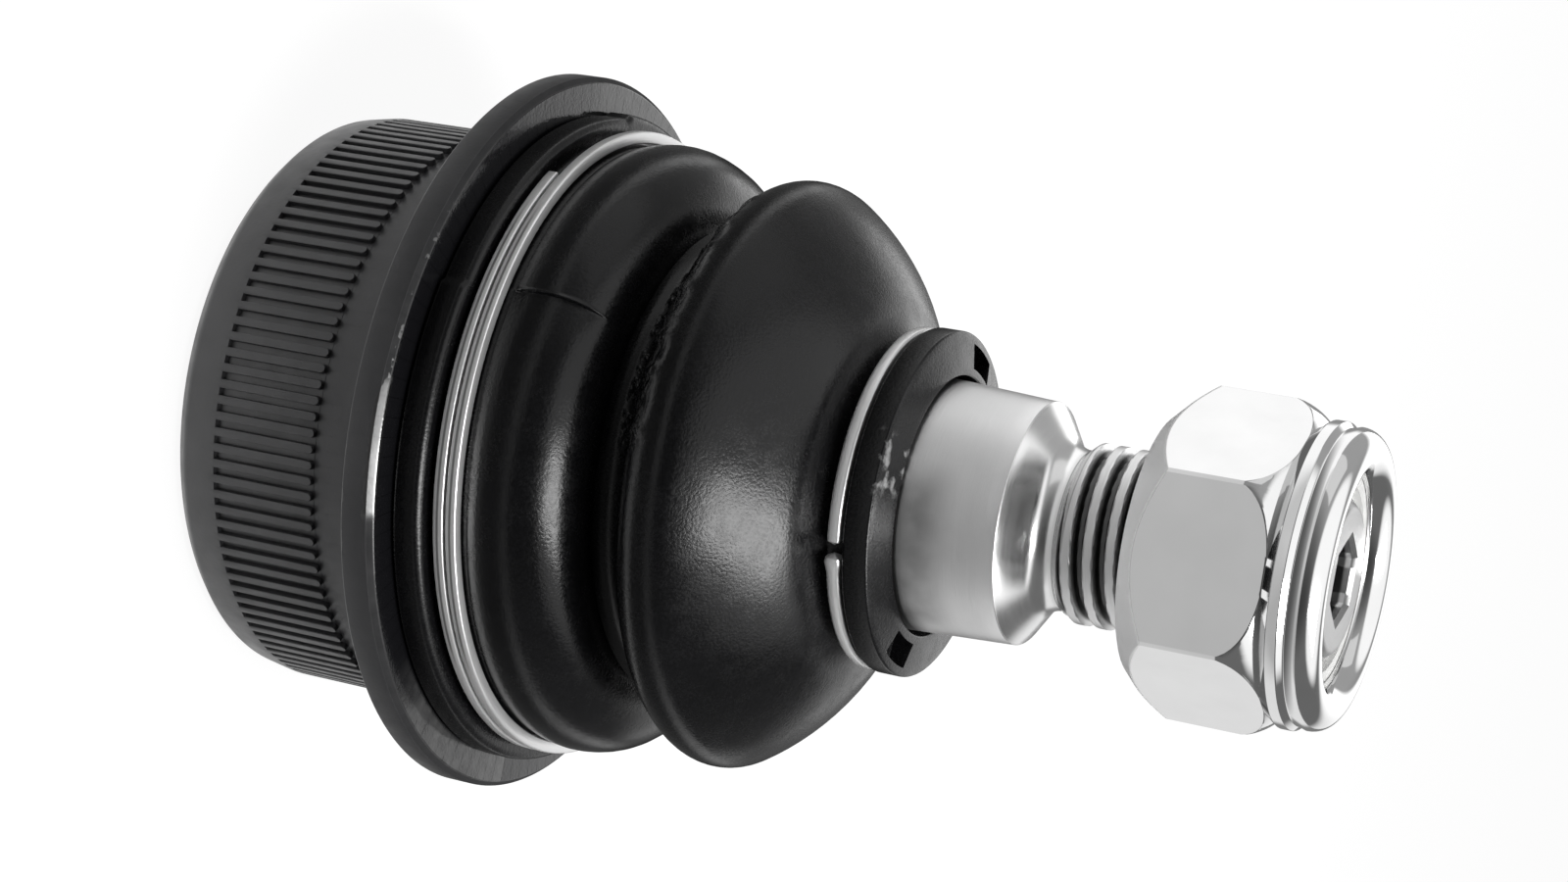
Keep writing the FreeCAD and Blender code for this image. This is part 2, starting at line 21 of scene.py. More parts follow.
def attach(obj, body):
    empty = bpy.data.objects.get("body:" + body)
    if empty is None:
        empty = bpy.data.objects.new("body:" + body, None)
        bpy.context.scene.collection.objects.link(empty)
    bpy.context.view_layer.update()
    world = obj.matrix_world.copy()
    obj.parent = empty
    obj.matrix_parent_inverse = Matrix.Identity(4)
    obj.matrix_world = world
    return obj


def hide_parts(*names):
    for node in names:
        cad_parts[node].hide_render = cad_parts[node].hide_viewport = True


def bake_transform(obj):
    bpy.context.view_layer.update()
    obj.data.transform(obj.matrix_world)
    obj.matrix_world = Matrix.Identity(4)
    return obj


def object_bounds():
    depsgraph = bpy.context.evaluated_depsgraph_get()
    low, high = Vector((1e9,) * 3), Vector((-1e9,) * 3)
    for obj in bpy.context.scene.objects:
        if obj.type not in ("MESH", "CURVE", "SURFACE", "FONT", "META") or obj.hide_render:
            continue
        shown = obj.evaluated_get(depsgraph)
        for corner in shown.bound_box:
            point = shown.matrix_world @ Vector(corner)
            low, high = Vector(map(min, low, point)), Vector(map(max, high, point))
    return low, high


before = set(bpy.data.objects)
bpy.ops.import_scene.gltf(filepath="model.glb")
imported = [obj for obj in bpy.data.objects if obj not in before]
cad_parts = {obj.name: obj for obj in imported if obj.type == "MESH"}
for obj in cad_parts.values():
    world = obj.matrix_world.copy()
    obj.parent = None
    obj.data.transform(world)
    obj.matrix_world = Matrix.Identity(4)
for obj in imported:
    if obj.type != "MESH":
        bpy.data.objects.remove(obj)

MM = 0.001
cad_low, cad_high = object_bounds()
scene = bpy.context.scene
scene.view_settings.view_transform = "Standard"
print("size in mm:", [round((high - low) / MM, 2) for low, high in zip(cad_low, cad_high)])

# %% [markdown]
# ## The camera first
#
# The view was worked out from the circles of the flange, the boot and the nut, which show as
# ellipses. The camera looks down at the axis by 23 degrees and is rolled almost a quarter turn,
# so that the stud points to the right. A camera is a place and three directions, and those
# three directions are the columns of its matrix.

# %% Camera at the photograph's angle
CAMERA_PLACE = (-2.35, -195.39, 103.56)
CAMERA_RIGHT = (-0.17887318, 0.3882251, 0.90403853)
CAMERA_UP = (-0.98387214, -0.07058139, -0.16435901)
CAMERA_BACK = (0.0, -0.91885774, 0.39458898)
FOCAL_PIXELS = 3187.0
IMAGE_WIDTH = 1600.0
SENSOR_WIDTH = 36.0

camera_data = bpy.data.cameras.new("camera")
camera_data.sensor_width = SENSOR_WIDTH
camera_data.lens = FOCAL_PIXELS / IMAGE_WIDTH * SENSOR_WIDTH
camera_data.clip_start = 0.01
camera_data.clip_end = 10
camera = bpy.data.objects.new("camera", camera_data)
scene.collection.objects.link(camera)
turned = Matrix((CAMERA_RIGHT, CAMERA_UP, CAMERA_BACK)).transposed()
camera.matrix_world = Matrix.Translation([c * MM for c in CAMERA_PLACE]) @ turned.to_4x4()
scene.camera = camera
print("lens in mm:", round(camera_data.lens, 2))

# %% [markdown]
# ## Outlines and surfaces
#
# Two tools carry the whole lesson. The first turns a list of corners into an outline and
# rounds each corner, because no forged, pressed or moulded edge is perfectly sharp and the
# small rounding is what catches the light. The second makes one closed mesh from a grid
# of points: rows run along the outline and columns run around the piece.

# %% Outline with rounded corners
def rounded_outline(corners, steps=4):
    """Closed outline in mm from corners (radius, height, rounding).

    A corner is cut back along both its sides by rounding over the tangent of half the
    angle between them, and an arc that is tangent to both sides joins the two cuts.
    A corner with no rounding stays a point.
    """
    points = []
    for index, corner in enumerate(corners):
        here = np.array(corner[:2], float)
        if len(corner) < 3:
            points.append(here[None])
            continue
        before = np.array(corners[index - 1][:2]) - here
        after = np.array(corners[(index + 1) % len(corners)][:2]) - here
        before /= np.linalg.norm(before)
        after /= np.linalg.norm(after)
        half = np.arccos(np.clip(before @ after, -1, 1)) / 2
        middle = (before + after) / np.linalg.norm(before + after)
        centre = here + middle * corner[2] / np.sin(half)
        spoke_in = here + before * corner[2] / np.tan(half) - centre
        spoke_out = here + after * corner[2] / np.tan(half) - centre
        first = np.arctan2(spoke_in[1], spoke_in[0])
        sweep = np.arctan2(spoke_out[1], spoke_out[0]) - first
        sweep = (sweep + np.pi) % (2 * np.pi) - np.pi
        angle = first + sweep * np.linspace(0, 1, steps + 1)
        points.append(centre + corner[2] * np.c_[np.cos(angle), np.sin(angle)])
    return np.vstack(points)


# %% Circle arc in an outline
def bulge(start, end, radius, steps=8):
    """Points of a circle arc from start to end, both left out, bulging right of the way.

    The centre lies left of the chord, at the root of radius squared less half the chord
    squared; a negative radius puts it on the other side.
    """
    start, end = np.array(start, float), np.array(end, float)
    chord = end - start
    length = np.hypot(*chord)
    right = np.array([chord[1], -chord[0]]) / length * np.sign(radius)
    centre = (start + end) / 2 - right * np.sqrt(radius ** 2 - length ** 2 / 4)
    first = np.arctan2(*(start - centre)[::-1])
    sweep = np.arctan2(*(end - centre)[::-1]) - first
    sweep = (sweep + np.pi) % (2 * np.pi) - np.pi
    angle = first + sweep * np.linspace(0, 1, steps + 1)[1:-1]
    spread = abs(radius) * np.c_[np.cos(angle), np.sin(angle)]
    return [tuple(point) for point in centre + spread]


# %% Closer points along an outline
def filled(outline, longest, closed=True):
    """Add points so that no step of the outline is longer than asked.

    The length along the outline is the running sum of its steps, and each step is cut
    into equal parts.
    """
    ends = np.roll(outline, -1, axis=0) if closed else outline[1:]
    starts = outline if closed else outline[:-1]
    parts = np.maximum(1, np.ceil(np.linalg.norm(ends - starts, axis=1) / longest).astype(int))
    which = np.repeat(np.arange(len(parts)), parts)
    share = (np.arange(parts.sum()) - np.repeat(np.cumsum(parts) - parts, parts)) / parts[which]
    points = starts[which] + (ends - starts)[which] * share[:, None]
    return points if closed else np.vstack([points, outline[-1:]])


# %% Grid of points to one closed mesh
SHARP = np.radians(38)


def grid_piece(name, points, material, closed=True, sharp=SHARP):
    """One object of one material from points[row, column] in mm.

    Columns always join round. Rows join round too when closed; otherwise the first and
    the last row are drawn together into one point each. The signed volume, a sixth of
    the sum of each triangle's triple product, tells whether the faces point outwards.
    """
    rows, columns = points.shape[:2]
    corner = np.arange(rows * columns).reshape(rows, columns)
    coords = points.reshape(-1, 3)
    upper = np.roll(corner, -1, axis=0) if closed else corner[1:]
    lower = corner if closed else corner[:-1]
    next_lower, next_upper = np.roll(lower, -1, axis=1), np.roll(upper, -1, axis=1)
    quads = np.stack([lower, next_lower, next_upper, upper], axis=-1).reshape(-1, 4)
    faces = quads.tolist()
    if not closed:
        poles = len(coords) + np.arange(2)
        coords = np.vstack([coords, points[0].mean(axis=0), points[-1].mean(axis=0)])
        for pole, ring, way in ((poles[0], corner[0], 1), (poles[1], corner[-1], -1)):
            fan = np.stack([np.full(columns, pole), np.roll(ring, -1), ring], axis=-1)[:, ::way]
            faces += fan.tolist()
    a, b, c, d = (coords[quads[:, k]] for k in range(4))
    volume = (a * (np.cross(b, c) + np.cross(c, d))).sum() / 6
    if volume < 0:
        faces = [face[::-1] for face in faces]
    mesh = bpy.data.meshes.new(name)
    mesh.from_pydata((coords * MM).tolist(), [], faces)
    mesh.shade_smooth()
    mesh.set_sharp_from_angle(angle=sharp)
    mesh.materials.append(material)
    piece = bpy.data.objects.new(name, mesh)
    scene.collection.objects.link(piece)
    print(name, "faces:", len(faces), "mm3:", round(abs(volume)))
    return piece


# %% Turning about the axis
def around(radius, height, angle):
    """Points from radius, height and angle: x is radius times the cosine, y times the sine."""
    radius, height, angle = np.broadcast_arrays(radius, height, angle)
    return np.stack([radius * np.cos(angle), radius * np.sin(angle), height], axis=-1)


def turn_of(columns):
    """Angles of evenly spaced columns over one full turn."""
    return np.arange(columns) * 2 * np.pi / columns


# %% [markdown]
# ## Small tools for shaders
#
# A material here is a graph of nodes. A few helpers add nodes and wire their inputs, and
# four groups hold the effects that more than one finish uses: the place on a turned piece,
# a soft window, a mottled tone, and lathe or grinding marks. Their nodes could be copied
# into every material, but a group keeps each effect in one place.
#
# A window is written as three numbers: low, high and the width over which it fades. A ramp
# is written as four: where it starts and ends, and its values there.

# %% Node helpers
def feed(tree, socket, value):
    """Link a socket to another one, or set it to a plain value."""
    if isinstance(value, bpy.types.NodeSocket):
        tree.links.new(value, socket)
    else:
        socket.default_value = value


def add(tree, kind, inputs=None, **settings):
    """Add a node, set its options, and feed each named or numbered input."""
    made = tree.nodes.new(kind)
    for key, value in settings.items():
        setattr(made, key, value)
    for key, value in (inputs or {}).items():
        feed(tree, made.inputs[key], value)
    return made


def math(tree, operation, *values):
    """Result of one Math node."""
    return add(tree, "ShaderNodeMath", dict(enumerate(values)), operation=operation).outputs[0]


# %% Arithmetic with nodes
def times(tree, *values):
    """Product of any number of values."""
    return reduce(lambda first, second: math(tree, "MULTIPLY", first, second), values)


def plus(tree, *values):
    """Sum of any number of values."""
    return reduce(lambda first, second: math(tree, "ADD", first, second), values)


def largest(tree, *values):
    """Largest of any number of values."""
    return reduce(lambda first, second: math(tree, "MAXIMUM", first, second), values)


def ramp(tree, value, start, end, low, high, interpolation="SMOOTHSTEP"):
    """Value mapped so that start gives low and end gives high, and held outside them."""
    return add(tree, "ShaderNodeMapRange", {
        "Value": value, "From Min": start, "From Max": end, "To Min": low, "To Max": high},
        interpolation_type=interpolation).outputs[0]


def length_of(tree, x, y):
    """Length of a flat vector."""
    flat = add(tree, "ShaderNodeCombineXYZ", {"X": x, "Y": y}).outputs[0]
    return add(tree, "ShaderNodeVectorMath", {0: flat}, operation="LENGTH").outputs["Value"]


# %% Making and using groups
def new_group(name, inputs, outputs):
    """Empty shader group of numbers; inputs maps each name to its default."""
    group = bpy.data.node_groups.new(name, "ShaderNodeTree")
    for label, default in inputs.items():
        socket = group.interface.new_socket(label, in_out="INPUT", socket_type="NodeSocketFloat")
        socket.default_value = default
    for label in outputs:
        group.interface.new_socket(label, in_out="OUTPUT", socket_type="NodeSocketFloat")
    source = group.nodes.new("NodeGroupInput").outputs if inputs else {}
    return group, source, group.nodes.new("NodeGroupOutput").inputs


def use(tree, group, **inputs):
    """Place a group in a material and return its outputs."""
    return add(tree, "ShaderNodeGroup", inputs, node_tree=group).outputs


# %% Group: place on a turned piece
place_group, _, place_out = new_group("place_on_turned_piece", {}, ["Angle", "Radius", "Height"])
tree = place_group
coords = add(tree, "ShaderNodeTexCoord").outputs["Object"]
split = add(tree, "ShaderNodeSeparateXYZ", {0: coords}).outputs
turn = math(tree, "ARCTAN2", split["Y"], split["X"])
degrees = math(tree, "MODULO", plus(tree, math(tree, "DEGREES", turn), 360.0), 360.0)
radius_mm = math(tree, "DIVIDE", length_of(tree, split["X"], split["Y"]), MM)
height_mm = math(tree, "DIVIDE", split["Z"], MM)
for label, socket in (("Angle", degrees), ("Radius", radius_mm), ("Height", height_mm)):
    tree.links.new(socket, place_out[label])
print("place group:", len(tree.nodes), "nodes")

# %% Group: soft window
window_group, window_in, window_out = new_group(
    "soft_window", {"Value": 0.0, "Low": 0.0, "High": 1.0, "Soft": 0.1}, ["Mask"])
tree = window_group
above_low = math(tree, "SUBTRACT", window_in["Value"], window_in["Low"])
below_high = math(tree, "SUBTRACT", window_in["High"], window_in["Value"])
nearest = math(tree, "DIVIDE", math(tree, "MINIMUM", above_low, below_high), window_in["Soft"])
mask = ramp(tree, plus(tree, nearest, 1.0), 0.0, 1.0, 0.0, 1.0)
tree.links.new(mask, window_out["Mask"])
print("window group:", len(tree.nodes), "nodes")

# %% Group: mottled tone
mottle_group, mottle_in, mottle_out = new_group(
    "mottle", {"Scale": 500.0, "Detail": 4.0, "From": 0.3, "To": 0.7, "Low": 0.0, "High": 1.0},
    ["Value"])
tree = mottle_group
coords = add(tree, "ShaderNodeTexCoord").outputs["Object"]
noise = add(tree, "ShaderNodeTexNoise", {
    "Vector": coords, "Scale": mottle_in["Scale"], "Detail": mottle_in["Detail"]}).outputs[0]
spread = ramp(tree, noise, mottle_in["From"], mottle_in["To"], mottle_in["Low"], mottle_in["High"],
              interpolation="LINEAR")
tree.links.new(spread, mottle_out["Value"])
print("mottle group:", len(tree.nodes), "nodes")

# %% Group: turning marks
marks_group, marks_in, marks_out = new_group(
    "turning_marks", {"Across": 9.0, "Along": 0.02}, ["Value"])
tree = marks_group
place = use(tree, place_group)
stretched = add(tree, "ShaderNodeCombineXYZ", {
    "X": times(tree, place["Angle"], marks_in["Along"]),
    "Y": times(tree, place["Radius"], marks_in["Across"]),
    "Z": times(tree, place["Height"], marks_in["Across"])}).outputs[0]
noise = add(tree, "ShaderNodeTexNoise", {
    "Vector": stretched, "Scale": 1.0, "Detail": 5.0}).outputs[0]
tree.links.new(noise, marks_out["Value"])
print("marks group:", len(tree.nodes), "nodes")


# %% Groups as masks and tones
def within(tree, value, low, high, soft):
    """Mask that is 1 between low and high and fades to 0 over soft on either side."""
    return use(tree, window_group, Value=value, Low=low, High=high, Soft=soft)["Mask"]


def patch(tree, place, heights, angles):
    """Mask of a patch: a window in height, in mm, times one in angle, in degrees."""
    at_height = within(tree, place["Height"], *heights)
    return times(tree, at_height, within(tree, place["Angle"], *angles))


def mottled(tree, scale, detail=4.0, **levels):
    """Mottled value; From and To set how much noise counts, Low and High what it gives."""
    return use(tree, mottle_group, Scale=scale, Detail=detail, **levels)["Value"]


def turning_marks(tree, across, along):
    """Marks that are fine across the turning direction and long along it."""
    return use(tree, marks_group, Across=across, Along=along)["Value"]


# %% Start and end of every material
def feed_shader(tree, values):
    """Feed the Principled shader's inputs by name."""
    for key, value in values.items():
        feed(tree, tree.nodes["Principled BSDF"].inputs[key.replace("_", " ")], value)


def new_material(name, **constants):
    """Material and its tree, with constants set on the Principled shader's own sockets."""
    material = bpy.data.materials.new(name)
    material.use_nodes = True
    feed_shader(material.node_tree, constants)
    return material, material.node_tree


def finished(material, **varying):
    """Link what varies over the surface to the shader, and return the material."""
    feed_shader(material.node_tree, varying)
    print(material.name, "nodes:", len(material.node_tree.nodes))
    return material


# %% Colours and relief
def grey(level):
    """Neutral colour of one level."""
    return (level, level, level, 1.0)


def mix_colour(tree, factor, first, second):
    """First colour where factor is 0, second where it is 1."""
    inputs = {0: factor, 6: first, 7: second}
    return add(tree, "ShaderNodeMix", inputs, data_type="RGBA").outputs[2]


def layered(tree, colour, *layers):
    """Colour with further ones laid over it, each given as its mask and its colour."""
    for mask, over in layers:
        colour = mix_colour(tree, mask, colour, over)
    return colour


def bump(tree, height, depth_mm):
    """Normal from a height value, in real depth."""
    return add(tree, "ShaderNodeBump", {
        "Height": height, "Distance": depth_mm * MM, "Strength": 1.0}).outputs[0]


# %% [markdown]
# ## Finish of the forged body
#
# The body is phosphated and oiled: almost black, satin, a little uneven. On the boot's side
# of the flange a film of grease makes it darker and glossier. Its open edge is paler at the
# bottom and the top, partly from dust and partly as a painted sheen of reflected light, and
# its front chamfer is darkened as painted shade. Where the flange was knocked against other
# parts the coating is gone and bare steel shows, most clearly as one bright strip on its
# front edge, with a thin line behind it and a row of chips beside it. They could be painted
# on an image, but masks in angle, radius and height, broken up with noise, stay sharp at any
# distance and switch the colour, the metal and the gloss together.

# %% Bare metal on the flange
FLANGE = 25.1
FLANGE_BACK = 0.75
FLANGE_FRONT = 3.0
RIM_RADII = (24.55, 26.0, 0.05)
STRIP_START = 267.0
STRIP_ARC = (STRIP_START, 285.5, 2.0)
STRIP_FOOT = 2.4
REAR_LINE = ((0.5, 0.8, 0.05), (274.5, 292.0, 2.0))
CHIPPED = ((FLANGE_FRONT - 0.14, FLANGE_FRONT + 0.02, 0.05), (238.0, 266.0, 3.0))


def bare_metal(tree, place):
    """Mask of bare metal: the largest of strip, rear line and chips, kept at the rim.

    The strip's lower edge falls as a ramp of the angle, so the strip starts with a point.
    Noise added to the height makes its edges and those of the rear line ragged.
    """
    foot = ramp(tree, place["Angle"], STRIP_START - 2.5, STRIP_START + 3.0,
                FLANGE_FRONT, STRIP_FOOT, interpolation="LINEAR")
    ragged = plus(tree, place["Height"], mottled(tree, 1300.0, Low=-0.14, High=0.14))
    worn = {"Height": ragged, "Angle": place["Angle"]}
    strip = patch(tree, worn, (foot, FLANGE_FRONT + 0.4, 0.06), STRIP_ARC)
    rear = patch(tree, worn, *REAR_LINE)
    chips = times(tree, patch(tree, place, *CHIPPED), mottled(tree, 1500.0, 3.0, From=0.6, To=0.64))
    at_rim = within(tree, place["Radius"], *RIM_RADII)
    return times(tree, largest(tree, strip, rear, chips), at_rim)


# %% Coated steel
BOOT_SIDE = (FLANGE_FRONT, 20.0, 0.1)
CHAMFER_HEIGHTS = (2.66, 2.94, 0.05)
CHAMFER_RADIUS = 24.6
OPEN_FACE = (23.0, 26.0, 0.4)
DUST_AND_SHEEN_ARCS = ((328.0, 400.0, 16.0), (150.0, 184.0, 10.0))
COAT_TONES = ((0.026, 0.026, 0.028, 1), (0.037, 0.037, 0.039, 1))
GREASE = (0.006, 0.006, 0.007, 1)
PAINTED_CHAMFER_SHADE = (0.004, 0.004, 0.005, 1)
DUST_AND_SHEEN = grey(0.075)
BARE_STEEL = grey(0.14)


def coated_steel():
    """Black coated steel, greasy beside the boot, with bare metal on the flange's edges."""
    material, tree = new_material("coated_steel", Specular_IOR_Level=0.65)
    place = use(tree, place_group)
    greasy = within(tree, place["Height"], *BOOT_SIDE)
    # Painted shade: the flange's front chamfer is coloured darker, and it is also made rougher.
    chamfer = times(tree, within(tree, place["Height"], *CHAMFER_HEIGHTS),
                    math(tree, "GREATER_THAN", place["Radius"], CHAMFER_RADIUS))
    # Paler grey on the open edge at the bottom and the top: partly dust, partly a painted sheen of
    # reflected light.
    arcs = [within(tree, place["Angle"], *arc) for arc in DUST_AND_SHEEN_ARCS]
    dust_and_sheen = times(tree, largest(tree, *arcs), within(tree, place["Radius"], *OPEN_FACE),
                  mottled(tree, 900.0, 5.0, Low=0.35), greasy)
    bare = bare_metal(tree, place)
    coat = mix_colour(tree, mottled(tree, 160.0, 5.0), *COAT_TONES)
    colour = layered(tree, coat, (greasy, GREASE), (chamfer, PAINTED_CHAMFER_SHADE), (dust_and_sheen, DUST_AND_SHEEN),
                     (bare, BARE_STEEL))
    dull_chamfer = times(tree, chamfer, math(tree, "SUBTRACT", 1.0, bare), 0.4)
    satin = mottled(tree, 700.0, Low=0.36, High=0.48)
    rough = plus(tree, satin, times(tree, greasy, -0.32), dull_chamfer)
    grain = bump(tree, mottled(tree, 4200.0, 2.0), 0.004)
    return finished(material, Base_Color=colour, Metallic=bare, Roughness=rough, Normal=grain)


coated = coated_steel()

# %% [markdown]
# ## The forged body and its ribs
#
# The body is one outline turned about the axis, with 118 ribs raised on it that bite into the
# hole of the arm. A displacement or an array of boxes would blur or cut the ribs. Here every
# rib gets eight columns of the grid, and the columns follow the rib's own edge: they stand
# apart along the rib and draw together at its rounded end.

# %% Body outline
RIBS = 118
CREST = 20.3
BAND = 19.9
GROOVE_FLOOR = 19.92
RIB_START = -12.3
RIB_END = -4.65
RIB_ROUND = 0.24
GROOVE_WIDTH = 0.56
BASE = -16.0
ROLL_INNER = 14.8
ROLL_TOP = -15.0
NECK_TOP = 9.8
MOUTH = 10.9
BORE = 16.0
COVER_BORE = 17.0
COVER_SEAT = -13.5

rolled_edge = [(ROLL_INNER, BASE), (18.95, BASE, 0.95), (19.95, -14.9, 1.0), (CREST, -12.8)]
band_and_flange = [
    (BAND, RIB_END), (BAND, FLANGE_BACK, 0.25), (FLANGE, FLANGE_BACK, 0.12),
    (FLANGE, 2.62, 0.08), (FLANGE - 0.4, FLANGE_FRONT, 0.1), (18.4, FLANGE_FRONT, 0.3)]
neck_for_boot = [
    (18.4, 6.8, 0.2), (19.2, 7.2, 0.1), (19.2, 7.9, 0.15), (14.6, NECK_TOP, 0.2),
    (MOUTH, NECK_TOP, 0.15)]
inside = [
    (MOUTH, 8.2), (BORE, 3.2), (BORE, COVER_SEAT), (COVER_BORE, COVER_SEAT),
    (COVER_BORE, ROLL_TOP), (ROLL_INNER, ROLL_TOP)]
below_ribs = rounded_outline(rolled_edge)
above_ribs = rounded_outline(band_and_flange + neck_for_boot + inside)
print("rows below and above the ribs:", len(below_ribs), len(above_ribs))

# %% Ribs as columns that follow their edges
LEAST_HALF = 0.02
BROKEN_EDGE = 0.05
EDGE_DROP = 0.04
FLANK = 0.04
GROOVE_STEP = 0.04


def rib_columns(height):
    """Angles of the eight columns of one rib at each height, and how deep each lies.

    The half width of the crest is half the pitch less half the groove. Over the last
    stretch before the rib's end it shrinks like a circle: by the rounding less the root of
    rounding squared minus the way into the end squared. A least half width is left.
    """
    pitch = 2 * np.pi * CREST / RIBS
    full = (pitch - GROOVE_WIDTH) / 2
    into_end = np.clip(height - (RIB_END - RIB_ROUND), 0, RIB_ROUND)
    half = full - RIB_ROUND + np.sqrt(RIB_ROUND ** 2 - into_end ** 2) + LEAST_HALF
    centre = 0 * half
    across = np.stack([-half - FLANK, -half, -half + BROKEN_EDGE, centre,
                       half - BROKEN_EDGE, half, half + FLANK, centre + pitch / 2], axis=-1)
    drop = CREST - GROOVE_FLOOR
    sunk = np.array([drop, EDGE_DROP, 0, 0, 0, EDGE_DROP, drop, drop])
    return across / CREST, sunk


# %% Ribs on the body
round_end = RIB_END - RIB_ROUND + RIB_ROUND * np.sin(np.radians([0, 25, 45, 62, 76, 90]))
straight_part = [RIB_START, RIB_START + GROOVE_STEP, -10.4, -8.5, -6.6]
rib_heights = np.concatenate([straight_part, round_end])
rib_radii = np.full(len(rib_heights), CREST)
radius_rows = np.concatenate([below_ribs[:, 0], rib_radii, above_ribs[:, 0]])
height_rows = np.concatenate([below_ribs[:, 1], rib_heights, above_ribs[:, 1]])
across, sunk = rib_columns(height_rows)
with_groove = (height_rows > RIB_START) & (height_rows <= RIB_END) & (radius_rows == CREST)
angle = (across[:, None, :] + turn_of(RIBS)[None, :, None]).reshape(len(across), -1)
depth = np.where(with_groove[:, None], np.tile(sunk, RIBS)[None, :], 0)
body_points = around(radius_rows[:, None] - depth, height_rows[:, None], angle)
housing_piece = grid_piece("forged_body", body_points, coated)
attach(housing_piece, "housing")
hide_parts("housing")

# %% [markdown]
# ## Moulded rubber
#
# The boot is black rubber with a faint bloom of moulding powder. The bloom makes the soft
# highlight look mottled instead of glassy, so the tone lives in the roughness more than in
# the colour. The lower fold was wiped in handling and shines more, the rim of the upper fold
# has small creases on one side, and the collar carries pale scuffs beside the stud. Each is
# one window in height and angle, times noise.

# %% Rubber
CREASED = ((15.4, 17.9, 0.6), (214.0, 262.0, 12.0))
SCUFFED = ((30.9, 32.5, 0.3), (252.0, 266.0, 5.0))
LOWER_FOLD = (8.4, 12.8, 1.0)
RUBBER_TONES = ((0.0022, 0.0022, 0.0024, 1), (0.0045, 0.0045, 0.005, 1))
BLOOM = (0.008, 0.008, 0.009, 1)
SCUFF = grey(0.3)


def boot_rubber():
    """Black moulded rubber with a powdery bloom.

    Roughness is a sum: a base, large clouds, fine specks and rubbed places, less some
    gloss on the lower fold. Creases and scuffs are a patch times a mottled value.
    """
    material, tree = new_material("boot_rubber", Specular_IOR_Level=0.34)
    place = use(tree, place_group)
    cloud = mottled(tree, 110.0, 6.0)
    specks = mottled(tree, 5200.0, 2.0, From=0.35, To=0.65)
    rubbed = mottled(tree, 700.0, 6.0, From=0.4, To=0.62, High=0.07)
    folded = mottled(tree, 1400.0, 3.0, From=0.4, To=0.6)
    creases = times(tree, patch(tree, place, *CREASED), folded)
    streaks = mottled(tree, 900.0, 5.0, From=0.52, To=0.66)
    scuffs = times(tree, patch(tree, place, *SCUFFED), streaks)
    black = mix_colour(tree, cloud, *RUBBER_TONES)
    colour = layered(tree, black, (times(tree, specks, 0.35), BLOOM), (scuffs, SCUFF))
    wiped = times(tree, within(tree, place["Height"], *LOWER_FOLD), -0.04)
    rough = plus(tree, 0.13, times(tree, cloud, 0.08), times(tree, specks, 0.08), rubbed, wiped)
    relief = bump(tree, plus(tree, times(tree, specks, 0.03), creases), 0.16)
    return finished(material, Base_Color=colour, Roughness=rough, Normal=relief)


rubber = boot_rubber()

# %% [markdown]
# ## The dust boot
#
# The bellows is a thin wall with two folds, a bead that sits on the flange, a seat for each
# wire ring and a thick collar on the stud. One closed outline runs up the outside and back
# down the inside. The marks of its mould are added in a function of radius, height and
# angle: a line across the first fold, a step in the bead, crinkles in the deep valley and
# two notches in the collar's face.

# %% Boot outline
foot_and_seat = [
    (18.52, 3.12, 0.1), (22.8, 3.12, 0.3), (22.8, 5.1, 0.5), (20.85, 5.1, 0.25),
    (20.85, 7.5, 0.12)]
lower_fold = [
    *bulge((20.85, 7.5), (20.5, 11.9), 4.8), (20.5, 11.9),
    *bulge((20.5, 11.9), (16.2, 14.1), 4.8), (16.2, 14.1)]
valley = [*bulge((16.2, 14.1), (16.2, 16.3), -1.3), (16.2, 16.3, 0.3), (19.1, 17.4)]
bell = [
    *bulge((19.1, 17.4), (19.69, 21.24), 2.9, 12), (19.69, 21.24),
    *bulge((19.69, 21.24), (13.1, 27.0), 16.4, 12), (13.1, 27.0),
    *bulge((13.1, 27.0), (10.55, 28.2), -6.0, 4), (10.55, 28.2, 0.2)]
collar = [
    (10.55, 29.6, 0.15), (11.7, 29.6, 0.3), (11.7, 31.4, 0.2), (11.1, 31.53), (11.0, 31.55),
    (9.5, 31.86), (9.4, 31.88), (8.8, 32.0, 0.1), (8.8, 28.2, 0.3)]
wall_inside = [
    (11.4, 25.3, 0.5), (17.4, 21.05, 1.5), (17.4, 19.1, 1.0), (14.5, 17.15, 0.8),
    (14.5, 13.25, 0.8), (19.65, 11.05, 1.5), (19.32, 7.9), (19.32, 7.2), (18.52, 6.8, 0.1)]
boot_outline = rounded_outline(foot_and_seat + lower_fold + valley + bell + collar + wall_inside)
boot_outline = filled(boot_outline, 0.8)
print("rows of the boot:", len(boot_outline))

# %% Windows on the boot
def window(value, low, high, soft):
    """1 between low and high, falling to 0 as a cosine over soft on either side."""
    inside = np.minimum(value - low, high - value) / soft
    return 0.5 - 0.5 * np.cos(np.pi * np.clip(inside + 1, 0, 1))


def angle_from(angle, degrees):
    """Signed difference from a direction in degrees, wrapped to half a turn either way."""
    return (np.degrees(angle) - degrees + 180) % 360 - 180


def region(height, radius, heights, radii):
    """Window in height times window in radius."""
    return window(height, *heights) * window(radius, *radii)


# %% Boot marks
MOULD_LINE = 245.0
BEAD_STEP = 247.0
NOTCHES = (164.0, 344.0)
NOTCH_REACH = 8.9
NOTCH_FLOOR = 30.4
LINE_RAISED = 0.1
DENT_DEPTH = 0.32
STEP_DEPTH = 0.28
CRINKLE_DEPTH = 0.07
CRINKLED_SIDE = 236.0
FIRST_FOLD = ((8.2, 12.6, 1.0), (18.0, 30.0, 1.0))
BEAD = ((3.0, 5.3, 0.1), (21.5, 24.0, 0.3))
VALLEY_RIM = ((16.3, 18.3, 0.5), (16.2, 20.5, 0.5))
NOTCHED_FACE = ((31.4, 33.0, 0.05), (9.49, 11.01, 0.05))
SWAYING = (12.0, 25.0, 2.0)


